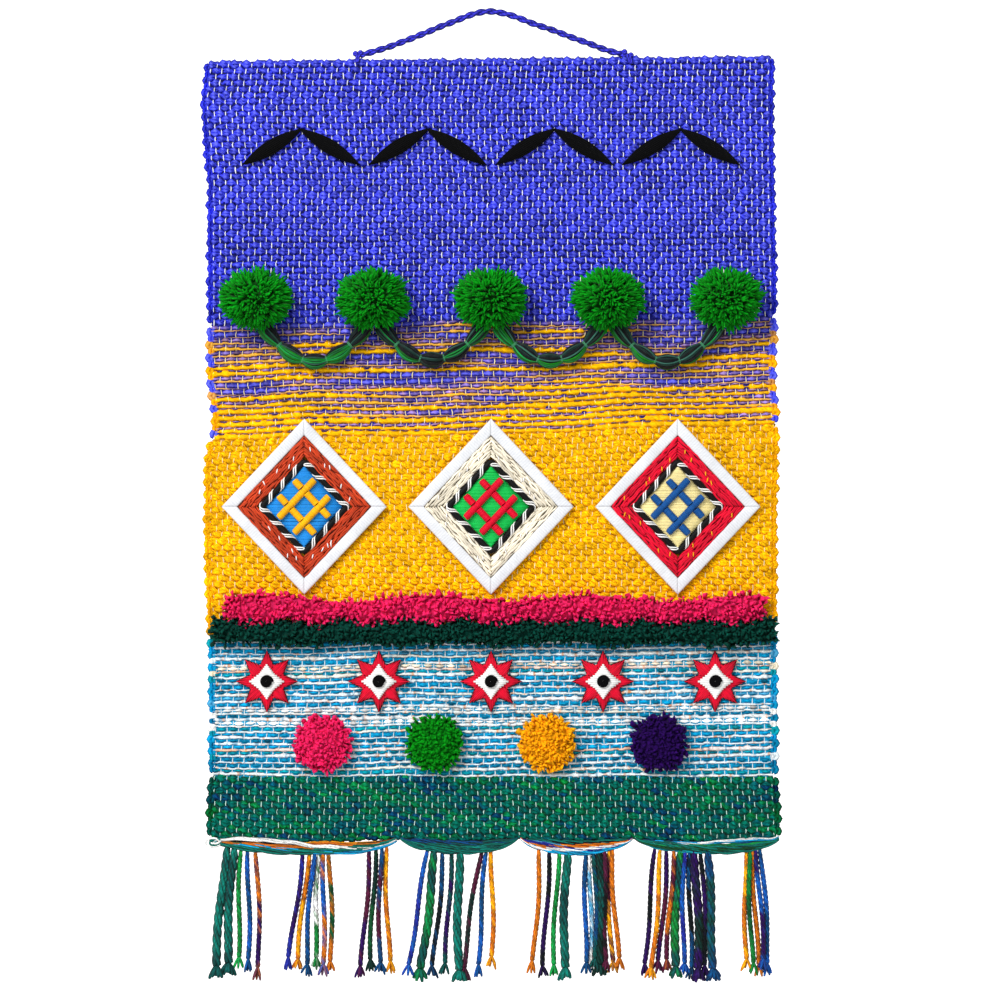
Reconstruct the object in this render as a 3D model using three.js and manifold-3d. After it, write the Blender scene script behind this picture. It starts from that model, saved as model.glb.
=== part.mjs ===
// A hand-woven wool wall hanging with sewn-on decoration, hung on a nail by a twisted cord.
// Millimetres. X runs to the right, Z runs up, and the cloth's flat back is the plane Y = 0.
// The origin is the nail under the cord's top bend, and the decorated face looks along -Y.

import * as THREE from "three";
import Module from "manifold-3d";
import { mergeVertices } from "three/addons/utils/BufferGeometryUtils.js";

const wasm = await Module();
wasm.setup();

// Parting between pieces that lie against each other.
const PARTING = 0.3;

// The woven cloth: its top edge rises to the right, and its lower edge hangs in four swags.
const CLOTH = { thick: 6, topLeft: -33.5, topRise: 5, bottom: -616.5 };
const HEM_ROLL = { height: 8, leftProud: 0.5, rightProud: 1.5 };
const CLOTH_COLUMNS_PER_SWAG = 6;
const CLOTH_ROWS = 14;
const FACE = -CLOTH.thick;

// How far each side edge stands from the middle line, by depth below the top edge.
const EDGES = [
  { down: 0, left: 214.5, right: 213 },
  { down: 30, left: 218, right: 212.5 },
  { down: 60, left: 216, right: 212.5 },
  { down: 90, left: 213, right: 213 },
  { down: 180, left: 213, right: 214.5 },
  { down: 240, left: 212.5, right: 213 },
  { down: 270, left: 208.5, right: 216 },
  { down: 300, left: 214.5, right: 215 },
  { down: 360, left: 215, right: 214.5 },
  { down: 450, left: 211.5, right: 214.5 },
  { down: 540, left: 212, right: 215 },
  { down: 590, left: 213.5, right: 218 },
];

// The bundles of loose yarn bound along the lower edge, from one pinch to the next.
const SWAGS = [
  { from: -213, to: -69, sag: 9 },
  { from: -69, to: 21, sag: 7.5 },
  { from: 21, to: 107, sag: 7.5 },
  { from: 107, to: 217.5, sag: 9 },
];
const BUNDLE = { pinchRadius: 2.2, midRadius: 4.4, depthRadius: 2.9, steps: 12, sides: 7 };
const CLOTH_SAG_SHARE = 0.55;
const BUNDLE_DROOP = 0.05;

// The fringe: groups of strands whose roots and tips spread about their own middles.
// The places counted as thick hold the heavier strands.
const FRINGE = [
  { root: -186.5, rootSpread: 18, tip: -189.5, tipSpread: 30, count: 5, thick: [0, 1] },
  { root: -131, rootSpread: 20, tip: -136, tipSpread: 32, count: 6, thick: [] },
  { root: -85, rootSpread: 12, tip: -87, tipSpread: 21, count: 4, thick: [] },
  { root: -35.5, rootSpread: 22, tip: -44, tipSpread: 40, count: 5, thick: [1, 4] },
  { root: -3, rootSpread: 8, tip: -11, tipSpread: 23, count: 3, thick: [] },
  { root: 47, rootSpread: 20, tip: 43, tipSpread: 23, count: 4, thick: [3] },
  { root: 81, rootSpread: 19, tip: 83, tipSpread: 25, count: 7, thick: [3] },
  { root: 143, rootSpread: 38, tip: 141, tipSpread: 54, count: 10, thick: [4, 7, 9] },
  { root: 196.5, rootSpread: 12, tip: 200.5, tipSpread: 17, count: 5, thick: [] },
];
const STRAND = {
  tip: -719.5,
  tipSpread: 5,
  thin: 1.5,
  thick: 3,
  sway: 1.2,
  middle: 3.1,
  stagger: 1.25,
};
const STRAND_RINGS = [
  { along: 0, width: 1 },
  { along: 0.35, width: 1.05 },
  { along: 0.85, width: 0.9 },
  { along: 1, width: 1.5 },
];

// The hanging cord: two plies twisted together, over the nail and down to a knot at each end.
const CORD = { radius: 2.4, back: 3, lay: 18, steps: 80, sides: 8 };
const PLY_HOLLOW = 0.2;
const CORD_ROUTE = [
  [-95, -28.2],
  [-90.5, -27],
  [-83, -24.8],
  [-76, -22.6],
  [-68, -19.6],
  [-60.5, -16.8],
  [-53, -13.8],
  [-45.5, -10.8],
  [-38, -7.6],
  [-30.5, -4.8],
  [-23, -1.8],
  [-15.5, 1.1],
  [-8, 3.1],
  [-0.5, 3.8],
  [7, 2.8],
  [14.5, 1],
  [22, -1.6],
  [29.5, -4.6],
  [37, -7.2],
  [44.5, -9.6],
  [52, -12.4],
  [59.5, -15.3],
  [67, -18],
  [74.5, -20.6],
  [82, -23.1],
  [90, -25.2],
  [98.4, -26.3],
];
const KNOT = { across: 4.6, high: 3.8, deep: 4.2 };

// A row of four pairs of felt leaves, set as a zigzag.
const LEAF = { length: 52, width: 10.5, felt: 2, foot: -112, rise: 27, pairs: 4, pitch: 95 };

// A row of pompoms with a bound hank of yarn looped from each to the next.
const POMPOM = { across: 27, high: 22.5, deep: 34, row: -213, pitch: 88, count: 5, lock: 0.13 };
const POMPOM_RINGS = [
  { depth: 0, wide: 0.62 },
  { depth: 0.16, wide: 0.86 },
  { depth: 0.42, wide: 0.9 },
  { depth: 0.7, wide: 0.76 },
  { depth: 0.9, wide: 0.42 },
];
const HANK = { radius: 6.2, waist: 4.9, bindings: 5, start: 12, sag: 34, steps: 20, sides: 8 };

// Three diamond medallions, each a braided frame, a stitched border, a wrapped cord and a panel.
const DIAMOND = { halfWidth: 62, halfHeight: 66, row: -368, pitch: 140 };
const BRAID = { width: 8.5, thick: 3 };
const BORDER = { width: 10.5, thick: 3.4 };
const WRAPPED = { radius: 2.2, sides: 6 };
const PANEL = { thick: 3 };
const BARS = { width: 5.6, thick: 3.8, apart: 8.2, spare: 3 };

// The pile bands across the cloth, pink scallops over dark green.
const PILE = { left: -208, right: 213, deep: 11, columns: 40, rows: 3, lump: 1.6, lock: 2.6 };
const PINK_BAND = { top: -437, bottom: -452, scallops: 9, scallopDrop: 5, inset: 9 };
const GREEN_BAND = { bottom: -470 };

// Five stitched stars in the water-coloured band, and four pile roundels between them.
const STAR = { points: 8, outer: 23, inner: 13, row: -499, pitch: 84, count: 5, thick: 3 };
const STAR_LOZENGE = { points: 4, outer: 13, inner: 8, thick: 1.8 };
const STAR_EYE = { points: 8, outer: 5.2, inner: 4.6, thick: 2 };
const ROUNDEL = { radius: 21, row: -545, pitch: 84, count: 4, deep: 12, lock: 3, around: 20 };

const COLOUR = {
  violet: 0x4b46cf,
  cord: 0x3a38b0,
  pine: 0x0c8f2e,
  felt: 0x121214,
  hank: 0x0d3b34,
  braid: 0xf4f2f2,
  brick: 0xc8371c,
  cream: 0xe9e2c8,
  crimson: 0xcf0f3c,
  blue: 0x2f4fc4,
  gold: 0xf5b40c,
  leafGreen: 0x149a4a,
  pink: 0xe01860,
  darkGreen: 0x06403a,
  purple: 0x6b2f9c,
  white: 0xf7f5f4,
  fringe: 0x13807c,
};

const { lerp } = THREE.MathUtils;

// A repeatable number from -1 to 1 for each whole number, for hand-made unevenness.
function uneven(index) {
  const wave = Math.sin(index * 12.9898) * 43758.5453;
  return 2 * (wave - Math.floor(wave)) - 1;
}

// A closed geometry from points and triangles, turned so that its faces point outwards.
function closedBody(points, triangles) {
  let volume = 0;
  for (const [a, b, c] of triangles) {
    volume += points[a].dot(new THREE.Vector3().crossVectors(points[b], points[c]));
  }
  const turned = volume < 0 ? triangles.map(([a, b, c]) => [a, c, b]) : triangles;
  const geometry = new THREE.BufferGeometry();
  geometry.setAttribute(
    "position",
    new THREE.Float32BufferAttribute(points.flatMap((p) => p.toArray()), 3),
  );
  geometry.setIndex(turned.flat());
  return geometry;
}

// The two triangles of the strip cell between points i and j of one ring and those of the next.
function stripCell(ringA, ringB, i, j) {
  return [
    [ringA + i, ringA + j, ringB + j],
    [ringA + i, ringB + j, ringB + i],
  ];
}

// Rings of equal count joined along their length and closed by a fan at each end.
function tubeBody(rings) {
  const sides = rings[0].length;
  const points = rings.flat();
  const triangles = [];
  for (let r = 0; r + 1 < rings.length; r++) {
    for (let i = 0; i < sides; i++) {
      triangles.push(...stripCell(r * sides, (r + 1) * sides, i, (i + 1) % sides));
    }
  }
  const lastRing = (rings.length - 1) * sides;
  for (const [start, flip] of [[0, true], [lastRing, false]]) {
    const middle = new THREE.Vector3();
    for (let i = 0; i < sides; i++) {
      middle.addScaledVector(points[start + i], 1 / sides);
    }
    const centre = points.push(middle) - 1;
    for (let i = 0; i < sides; i++) {
      const next = (i + 1) % sides;
      triangles.push(flip ? [start + next, start + i, centre] : [start + i, start + next, centre]);
    }
  }
  return closedBody(points, triangles);
}

// Sections of equal count joined into a closed loop, such as a frame.
function loopBody(sections) {
  const sides = sections[0].length;
  const triangles = [];
  for (let s = 0; s < sections.length; s++) {
    const next = ((s + 1) % sections.length) * sides;
    for (let i = 0; i < sides; i++) {
      triangles.push(...stripCell(s * sides, next, i, (i + 1) % sides));
    }
  }
  return closedBody(sections.flat(), triangles);
}

// Stacked outlines in planes of equal Y, with a flat cap on the first and the last.
function plateBody(stack) {
  const flat = (outline) => outline.map((p) => new THREE.Vector2(p.x, p.z));
  const turned = THREE.ShapeUtils.area(flat(stack[0])) < 0;
  const outlines = turned ? stack.map((outline) => [...outline].reverse()) : stack;
  const sides = outlines[0].length;
  const triangles = [];
  for (let r = 0; r + 1 < outlines.length; r++) {
    for (let i = 0; i < sides; i++) {
      triangles.push(...stripCell(r * sides, (r + 1) * sides, i, (i + 1) % sides));
    }
  }
  const lastRing = (outlines.length - 1) * sides;
  for (const [start, flip] of [[0, true], [lastRing, false]]) {
    const outline = outlines[start / sides];
    for (const [a, b, c] of THREE.ShapeUtils.triangulateShape(flat(outline), [])) {
      triangles.push(flip ? [start + c, start + b, start + a] : [start + a, start + b, start + c]);
    }
  }
  return closedBody(outlines.flat(), triangles);
}

// A sewn-on plate: full outline at the back, edge rounded over towards the front.
function sewnPlate(outline, thick, rounding = 0.45, back = FACE - PARTING) {
  const middle = outline
    .reduce((sum, p) => sum.add(p), new THREE.Vector2())
    .divideScalar(outline.length);
  const layer = (scale, depth) => outline.map((p) => {
    const q = p.clone().sub(middle).multiplyScalar(scale).add(middle);
    return new THREE.Vector3(q.x, back - depth, q.y);
  });
  const size = Math.max(...outline.map((p) => p.distanceTo(middle)));
  const inner = 1 - (thick * rounding) / size;
  return plateBody([layer(1, 0), layer(1, thick * (1 - rounding)), layer(inner, thick)]);
}

// A closed mesh as a solid for joining and cutting, and back again.
function solidOf(geometry) {
  const merged = mergeVertices(geometry, 1e-4);
  return new wasm.Manifold(new wasm.Mesh({
    numProp: 3,
    vertProperties: Float32Array.from(merged.attributes.position.array),
    triVerts: Uint32Array.from(merged.index.array),
  }));
}

function geometryOf(solid) {
  const { vertProperties, triVerts } = solid.getMesh();
  const geometry = new THREE.BufferGeometry();
  geometry.setAttribute("position", new THREE.Float32BufferAttribute(vertProperties, 3));
  geometry.setIndex(Array.from(triVerts));
  return geometry;
}

function joined(geometries) {
  const solids = geometries.map(solidOf);
  return geometryOf(solids.reduce((sum, solid) => sum.add(solid)));
}

// A tube along a path that lies nearly in the cloth's plane, its section given by reach(t, angle).
function tubeAlong(path, steps, sides, reach) {
  const outOfWall = new THREE.Vector3(0, -1, 0);
  const rings = [];
  for (let s = 0; s <= steps; s++) {
    const t = s / steps;
    const centre = path.getPointAt(t);
    const across = new THREE.Vector3().crossVectors(path.getTangentAt(t), outOfWall).normalize();
    rings.push(Array.from({ length: sides }, (_, i) => {
      const angle = (2 * Math.PI * i) / sides;
      const { wide, deep } = reach(t, angle);
      return centre.clone()
        .addScaledVector(across, wide * Math.cos(angle))
        .addScaledVector(outOfWall, deep * Math.sin(angle));
    }));
  }
  return tubeBody(rings);
}

const wall = new THREE.Group();

function addPiece(name, geometry, colour, roughness = 0.9) {
  const material = new THREE.MeshStandardMaterial({ color: colour, roughness, metalness: 0 });
  const mesh = new THREE.Mesh(geometry, material);
  mesh.name = name;
  wall.add(mesh);
}

// Height of the cloth's top edge, and the shares of the way across where columns stand.
function topLine(across) {
  return CLOTH.topLeft + CLOTH.topRise * across * across;
}

function edgeAt(down, side) {
  const after = Math.max(1, EDGES.findIndex((row) => row.down >= down));
  const [a, b] = [EDGES[after - 1], EDGES[after]];
  return lerp(a[side], b[side], (down - a.down) / (b.down - a.down));
}

function swagDrop(swag, t) {
  return 4 * t * (1 - t) * swag.sag;
}

function clothColumns() {
  const left = -EDGES.at(-1).left;
  const right = EDGES.at(-1).right;
  const columns = [{ across: 0, drop: 0 }];
  for (const swag of SWAGS) {
    for (let k = 1; k <= CLOTH_COLUMNS_PER_SWAG; k++) {
      const t = k / CLOTH_COLUMNS_PER_SWAG;
      const across = (lerp(swag.from, swag.to, t) - left) / (right - left);
      columns.push({ across, drop: swagDrop(swag, t) * CLOTH_SAG_SHARE });
    }
  }
  columns[columns.length - 1].across = 1;
  return columns;
}

// A slab with a flat back: a grid of points in front, and optional locks around its rim.
function slabBody({ columns, rows, place, back, lock = 0 }) {
  const front = [];
  for (let r = 0; r <= rows; r++) {
    for (let c = 0; c <= columns; c++) {
      front.push(place(c, r));
    }
  }
  const rim = [];
  for (let c = 0; c < columns; c++) rim.push(c);
  for (let r = 0; r < rows; r++) rim.push(r * (columns + 1) + columns);
  for (let c = columns; c > 0; c--) rim.push(rows * (columns + 1) + c);
  for (let r = rows; r > 0; r--) rim.push(r * (columns + 1));
  const triangles = [];
  for (let r = 0; r < rows; r++) {
    for (let c = 0; c < columns; c++) {
      const corner = r * (columns + 1) + c;
      triangles.push([corner, corner + 1, corner + columns + 2]);
      triangles.push([corner, corner + columns + 2, corner + columns + 1]);
    }
  }
  const points = [...front];
  const outlines = [rim];
  const around = rim.length;
  const onRim = (i) => front[rim[(i + around) % around]];
  if (lock > 0) {
    outlines.push(rim.map((_, i) => {
      const p = onRim(i);
      const along = onRim(i + 1).clone().sub(onRim(i - 1)).setY(0).normalize();
      const reach = i % 2 ? lock * (1 + 0.3 * uneven(i)) : 0;
      return points.push(new THREE.Vector3(
        p.x - along.z * reach,
        lerp(back, p.y, 0.5),
        p.z + along.x * reach,
      )) - 1;
    }));
  }
  outlines.push(rim.map((k) => points.push(front[k].clone().setY(back)) - 1));
  for (let o = 0; o + 1 < outlines.length; o++) {
    for (let i = 0; i < around; i++) {
      const next = (i + 1) % around;
      triangles.push([outlines[o][i], outlines[o + 1][next], outlines[o][next]]);
      triangles.push([outlines[o][i], outlines[o + 1][i], outlines[o + 1][next]]);
    }
  }
  const backRing = outlines.at(-1);
  const flat = backRing.map((k) => new THREE.Vector2(points[k].x, points[k].z));
  const turned = THREE.ShapeUtils.area(flat) > 0;
  for (const [a, b, c] of THREE.ShapeUtils.triangulateShape(flat, [])) {
    const cap = [backRing[a], backRing[b], backRing[c]];
    triangles.push(turned ? [cap[0], cap[2], cap[1]] : cap);
  }
  return closedBody(points, triangles);
}

// Shares of the way down where the cloth's rows stand: the rolled hem's four, then even steps.
function clothRows(length) {
  const { height } = HEM_ROLL;
  const rows = [0, height * 0.25, height * 0.8, height].map((down) => down / length);
  for (let r = 1; r <= CLOTH_ROWS; r++) {
    rows.push(lerp(height / length, 1, r / CLOTH_ROWS));
  }
  return rows;
}

function buildCloth() {
  const columns = clothColumns();
  const length = CLOTH.topLeft - CLOTH.bottom;
  const rows = clothRows(length);
  const place = (c, r) => {
    const { across, drop } = columns[c];
    const z = lerp(topLine(across), CLOTH.bottom - drop, rows[r]);
    const down = rows[r] * length;
    const x = lerp(-edgeAt(down, "left"), edgeAt(down, "right"), across);
    const proud = lerp(HEM_ROLL.leftProud, HEM_ROLL.rightProud, across);
    const inRoll = r === 1 || r === 2;
    return new THREE.Vector3(x, FACE - (inRoll ? proud : 0), z);
  };
  addPiece("cloth", slabBody({
    columns: columns.length - 1,
    rows: rows.length - 1,
    place,
    back: 0,
  }), COLOUR.violet);
}

// The line that a yarn bundle's middle follows under the cloth's lower edge.
function bundleLine(swag, t) {
  const radius = lerp(BUNDLE.pinchRadius, BUNDLE.midRadius, Math.sin(Math.PI * t));
  const edge = CLOTH.bottom - swagDrop(swag, t) * CLOTH_SAG_SHARE;
  return edge - radius - PARTING - BUNDLE_DROOP * swagDrop(swag, t);
}

function strandBody({ rootX, rootZ, tipX, thick, order }) {
  const tipZ = STRAND.tip + STRAND.tipSpread * uneven(order + 7);
  const stagger = thick ? 0 : STRAND.stagger * (order % 2 ? 1 : -1);
  const depth = -STRAND.middle + stagger;
  const radius = thick ? STRAND.thick : STRAND.thin;
  const rings = STRAND_RINGS.map(({ along, width }) => {
    const x = lerp(rootX, tipX, along) + STRAND.sway * Math.sin(along * 6 + order);
    const z = lerp(rootZ, tipZ, along);
    const wide = radius * width;
    const deep = radius * Math.min(width, 1);
    return [
      new THREE.Vector3(x - wide, depth, z),
      new THREE.Vector3(x, depth - deep, z),
      new THREE.Vector3(x + wide, depth, z),
      new THREE.Vector3(x, depth + deep, z),
    ];
  });
  return tubeBody(rings);
}

// Every strand of the fringe, with the places of its root and tip across the hanging.
function fringeStrands() {
  let order = 0;
  return FRINGE.flatMap(({ root, rootSpread, tip, tipSpread, count, thick }) =>
    Array.from({ length: count }, (_, k) => {
      order += 1;
      const share = k / (count - 1) - 0.5;
      return {
        x: root + rootSpread * share,
        tipX: tip + tipSpread * share,
        thick: thick.includes(k),
        order,
      };
    }));
}

function buildLowerEdge() {
  const strands = fringeStrands();
  SWAGS.forEach((swag, index) => {
    const span = swag.to - swag.from;
    const inset = PARTING / 2 / span;
    const pathPoints = [];
    for (let s = 0; s <= BUNDLE.steps; s++) {
      const t = lerp(inset, 1 - inset, s / BUNDLE.steps);
      pathPoints.push(new THREE.Vector3(
        lerp(swag.from, swag.to, t),
        -BUNDLE.depthRadius - 0.1,
        bundleLine(swag, t),
      ));
    }
    const rings = pathPoints.map((centre, s) => {
      const wide = lerp(BUNDLE.pinchRadius, BUNDLE.midRadius, Math.sin((Math.PI * s) / BUNDLE.steps));
      return Array.from({ length: BUNDLE.sides }, (_, i) => {
        const angle = (2 * Math.PI * i) / BUNDLE.sides;
        return new THREE.Vector3(
          centre.x,
          centre.y - BUNDLE.depthRadius * Math.sin(angle),
          centre.z + wide * Math.cos(angle),
        );
      });
    });
    const own = strands.filter(({ x }) => x > swag.from && x < swag.to);
    const roots = own.map(({ x, tipX, thick, order }) => {
      const reach = (thick ? STRAND.thick : STRAND.thin) + 1;
      const rootX = Math.min(Math.max(x, swag.from + reach), swag.to - reach);
      const rootZ = bundleLine(swag, (rootX - swag.from) / span);
      return strandBody({ rootX, rootZ, tipX, thick, order });
    });
    addPiece(`hem_fringe_${index + 1}`, joined([tubeBody(rings), ...roots]), COLOUR.fringe);
  });
}

function buildCord() {
  const route = CORD_ROUTE.map(([x, z]) => new THREE.Vector3(x, -CORD.back, z));
  const path = new THREE.CatmullRomCurve3(route, false, "centripetal");
  const turns = path.getLength() / CORD.lay;
  const twisted = (t, angle) => {
    const ply = 1 - PLY_HOLLOW + PLY_HOLLOW * Math.cos(2 * (angle - 2 * Math.PI * turns * t));
    return { wide: CORD.radius * ply, deep: CORD.radius * ply };
  };
  addPiece("hanging_cord", tubeAlong(path, CORD.steps, CORD.sides, twisted), COLOUR.cord);
  const ends = [
    { name: "knot_left", end: route[0], before: route[1] },
    { name: "knot_right", end: route.at(-1), before: route.at(-2) },
  ];
  for (const { name, end, before } of ends) {
    const outward = end.clone().sub(before).normalize();
    const centre = end.clone().addScaledVector(outward, KNOT.across + PARTING);
    centre.y = -KNOT.deep - 0.3;
    addPiece(name, knotBody(centre, outward), COLOUR.cord);
  }
}

// An overhand knot pulled tight: a round lump with a waist where the strands cross.
function knotBody(centre, outward) {
  const up = new THREE.Vector3(0, 0, 1);
  const across = outward.clone().setY(0).normalize();
  const stations = [-0.96, -0.55, 0, 0.5, 0.94];
  return tubeBody(stations.map((s, k) => Array.from({ length: 8 }, (_, i) => {
    const angle = (2 * Math.PI * i) / 8;
    const girth = Math.sqrt(1 - s * s) * (1 + 0.1 * Math.cos(2 * angle + k * 1.3) * (1 - s * s));
    return centre.clone()
      .addScaledVector(across, s * KNOT.across)
      .addScaledVector(up, girth * KNOT.high * 0.92 * Math.cos(angle))
      .add(new THREE.Vector3(0, -girth * KNOT.deep * 0.92 * Math.sin(angle), 0));
  })));
}

// One leaf: a lens between two tips, as points in the cloth's plane.
function leafOutline(from, to) {
  const along = to.clone().sub(from);
  const length = along.length();
  const side = new THREE.Vector2(-along.y, along.x).divideScalar(length);
  const count = 6;
  const edge = (sign, k) => {
    const t = k / count;
    const half = (LEAF.width / 2) * Math.sin(Math.PI * t) ** 0.8;
    return from.clone().addScaledVector(along, t).addScaledVector(side, sign * half);
  };
  const outline = [];
  for (let k = 0; k < count; k++) outline.push(edge(-1, k));
  for (let k = count; k > 0; k--) outline.push(edge(1, k));
  return outline;
}

function buildLeaves() {
  for (let k = 0; k < LEAF.pairs; k++) {
    const middle = (k - (LEAF.pairs - 1) / 2) * LEAF.pitch;
    const apex = new THREE.Vector2(middle, LEAF.foot + LEAF.rise);
    const halfSpan = Math.sqrt(LEAF.length ** 2 - LEAF.rise ** 2);
    const leaves = [-1, 1].map((side) => {
      const foot = new THREE.Vector2(middle + side * halfSpan, LEAF.foot);
      const tip = apex.clone().add(new THREE.Vector2(-side * 1.5, 0.8));
      return sewnPlate(leafOutline(foot, tip), LEAF.felt);
    });
    addPiece(`leaf_pair_${k + 1}`, joined(leaves), COLOUR.felt);
  }
}

function pompomMiddle(index) {
  return (index - (POMPOM.count - 1) / 2) * POMPOM.pitch;
}

// A pompom: a flat-backed ball of locks, every second point drawn out to a lock's tip.
function pompomBody(middle, seed) {
  const around = 12;
  const back = FACE - PARTING;
  const rings = POMPOM_RINGS.map(({ depth, wide }, r) => Array.from({ length: around }, (_, i) => {
    const angle = (2 * Math.PI * i) / around;
    const isLock = r > 0 && (i + r) % 2 === 0;
    const reach = wide + (isLock ? POMPOM.lock * (1 + 0.25 * uneven(seed + 13 * r + i)) : 0);
    const forward = isLock && r > 2 ? 0.05 : 0;
    return new THREE.Vector3(
      middle + POMPOM.across * Math.min(reach, 1) * Math.cos(angle),
      back - POMPOM.deep * (depth + forward),
      POMPOM.row + POMPOM.high * Math.min(reach, 1) * Math.sin(angle),
    );
  }));
  return tubeBody(rings);
}

// The room that a pompom takes, with the parting around it.
function pompomRoom(middle) {
  const room = new THREE.SphereGeometry(1, 24, 14);
  room.deleteAttribute("normal");
  room.deleteAttribute("uv");
  room.scale(POMPOM.across * 1.04, POMPOM.deep * 1.1, POMPOM.high * 1.04);
  room.translate(middle, FACE - POMPOM.deep * 0.4, POMPOM.row);
  return solidOf(room);
}

function buildPompomRow() {
  for (let k = 0; k < POMPOM.count; k++) {
    addPiece(`pompom_${k + 1}`, pompomBody(pompomMiddle(k), 40 * k), COLOUR.pine);
  }
  for (let k = 0; k + 1 < POMPOM.count; k++) {
    const [from, to] = [pompomMiddle(k), pompomMiddle(k + 1)];
    const points = [];
    for (let s = 0; s <= 8; s++) {
      const t = s / 8;
      points.push(new THREE.Vector3(
        lerp(from, to, t),
        FACE - PARTING - HANK.radius,
        POMPOM.row - HANK.start - 4 * t * (1 - t) * (HANK.sag + 3 * uneven(k + 3)),
      ));
    }
    const path = new THREE.CatmullRomCurve3(points);
    const hankReach = (t) => {
      const swell = Math.abs(Math.sin(Math.PI * HANK.bindings * t));
      const radius = lerp(HANK.waist, HANK.radius, swell);
      return { wide: radius, deep: Math.min(radius, HANK.radius) };
    };
    const hank = solidOf(tubeAlong(path, HANK.steps, HANK.sides, hankReach));
    const cut = hank.subtract(pompomRoom(from)).subtract(pompomRoom(to));
    addPiece(`hank_${k + 1}`, geometryOf(cut), COLOUR.hank);
  }
}

// The middle-to-side distance of the diamond, which turns a width into a share of its size.
function diamondReach() {
  const { halfWidth: w, halfHeight: h } = DIAMOND;
  return (w * h) / Math.hypot(w, h);
}

// Corners of the diamond drawn in by a width, each cut by a small chamfer.
function diamondOutline(middle, drawnIn, chamfer = 0.07) {
  const scale = 1 - drawnIn / diamondReach();
  const corners = [
    [DIAMOND.halfWidth, 0],
    [0, DIAMOND.halfHeight],
    [-DIAMOND.halfWidth, 0],
    [0, -DIAMOND.halfHeight],
  ].map(([x, z]) => new THREE.Vector2(middle + x * scale, DIAMOND.row + z * scale));
  return corners.flatMap((corner, i) => {
    const before = corners[(i + 3) % 4];
    const after = corners[(i + 1) % 4];
    return [corner.clone().lerp(before, chamfer), corner.clone().lerp(after, chamfer)];
  });
}

// A closed diamond band between two distances from the rim, rounded over in front.
function diamondBand(middle, outerIn, innerIn, thick) {
  const back = FACE - PARTING;
  const rounding = 0.9;
  const lines = [
    { drawnIn: outerIn, depth: 0 },
    { drawnIn: outerIn, depth: thick * 0.6 },
    { drawnIn: outerIn + rounding, depth: thick },
    { drawnIn: innerIn - rounding, depth: thick },
    { drawnIn: innerIn, depth: thick * 0.6 },
    { drawnIn: innerIn, depth: 0 },
  ].map(({ drawnIn, depth }) => ({ outline: diamondOutline(middle, drawnIn), depth }));
  const corners = lines[0].outline.length;
  return loopBody(Array.from({ length: corners }, (_, i) =>
    lines.map(({ outline, depth }) => new THREE.Vector3(outline[i].x, back - depth, outline[i].y))));
}

function wrappedCordBody(middle, drawnIn) {
  const sections = [];
  const back = FACE - PARTING;
  const corners = diamondOutline(middle, 0).length;
  for (let i = 0; i < corners; i++) {
    sections.push(Array.from({ length: WRAPPED.sides }, (_, k) => {
      const angle = (2 * Math.PI * (k + 0.5)) / WRAPPED.sides;
      const line = diamondOutline(middle, drawnIn + WRAPPED.radius * Math.cos(angle));
      const depth = WRAPPED.radius * (1 + Math.sin(angle));
      return new THREE.Vector3(line[i].x, back - depth, line[i].y);
    }));
  }
  return loopBody(sections);
}

// A padded bar: half round in section, drawn in at both ends.
function barBody(centre, along, length, back) {
  const across = new THREE.Vector3(-along.z, 0, along.x);
  const half = length / 2;
  const stations = [-half, -half + BARS.width * 0.4, half - BARS.width * 0.4, half];
  return tubeBody(stations.map((s, k) => {
    const girth = k === 0 || k === 3 ? 0.55 : 1;
    return [0, 1, 2, 3, 4, 5].map((i) => {
      const angle = (Math.PI * i) / 5;
      return centre.clone()
        .addScaledVector(along, s)
        .addScaledVector(across, (BARS.width / 2) * girth * Math.cos(angle))
        .setY(back - BARS.thick * girth * Math.sin(angle));
    });
  }));
}

function buildMedallions() {
  const names = ["left", "middle", "right"];
  const borderColours = [COLOUR.brick, COLOUR.cream, COLOUR.crimson];
  const panelColours = [COLOUR.blue, COLOUR.leafGreen, COLOUR.cream];
  const barColours = [COLOUR.gold, COLOUR.crimson, COLOUR.blue];
  names.forEach((name, k) => {
    const middle = (k - 1) * DIAMOND.pitch;
    const borderFrom = BRAID.width + PARTING;
    const borderTo = borderFrom + BORDER.width;
    const cordLine = borderTo + PARTING + WRAPPED.radius;
    const panelFrom = cordLine + WRAPPED.radius + PARTING;
    addPiece(`braid_${name}`, diamondBand(middle, 0, BRAID.width, BRAID.thick), COLOUR.braid, 0.6);
    const border = diamondBand(middle, borderFrom, borderTo, BORDER.thick);
    addPiece(`border_${name}`, border, borderColours[k], 0.7);
    addPiece(`wrapped_cord_${name}`, wrappedCordBody(middle, cordLine), COLOUR.felt);
    const panel = sewnPlate(diamondOutline(middle, panelFrom), PANEL.thick, 0.3);
    addPiece(`panel_${name}`, panel, panelColours[k], 0.7);
    const panelShare = 1 - panelFrom / diamondReach();
    const side = Math.hypot(DIAMOND.halfWidth, DIAMOND.halfHeight);
    const barLength = side * panelShare - BARS.spare;
    const back = FACE - 2 * PARTING - PANEL.thick;
    const bars = [1, -1].flatMap((turn) => {
      const along = new THREE.Vector3(DIAMOND.halfWidth / side, 0, (turn * DIAMOND.halfHeight) / side);
      const other = new THREE.Vector3(DIAMOND.halfWidth / side, 0, (-turn * DIAMOND.halfHeight) / side);
      return [-1, 1].map((place) => {
        const centre = new THREE.Vector3(middle, 0, DIAMOND.row).addScaledVector(other, place * BARS.apart);
        return barBody(centre, along, barLength * (1 - 0.02 * place), back);
      });
    });
    addPiece(`bars_${name}`, joined(bars), barColours[k], 0.7);
  });
}

// Where the pink band's scallops hang over the green band, by the way across.
function scallopLine(across) {
  const phase = (across * PINK_BAND.scallops) % 1;
  return PINK_BAND.bottom - PINK_BAND.scallopDrop * Math.sin(Math.PI * phase);
}

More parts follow.
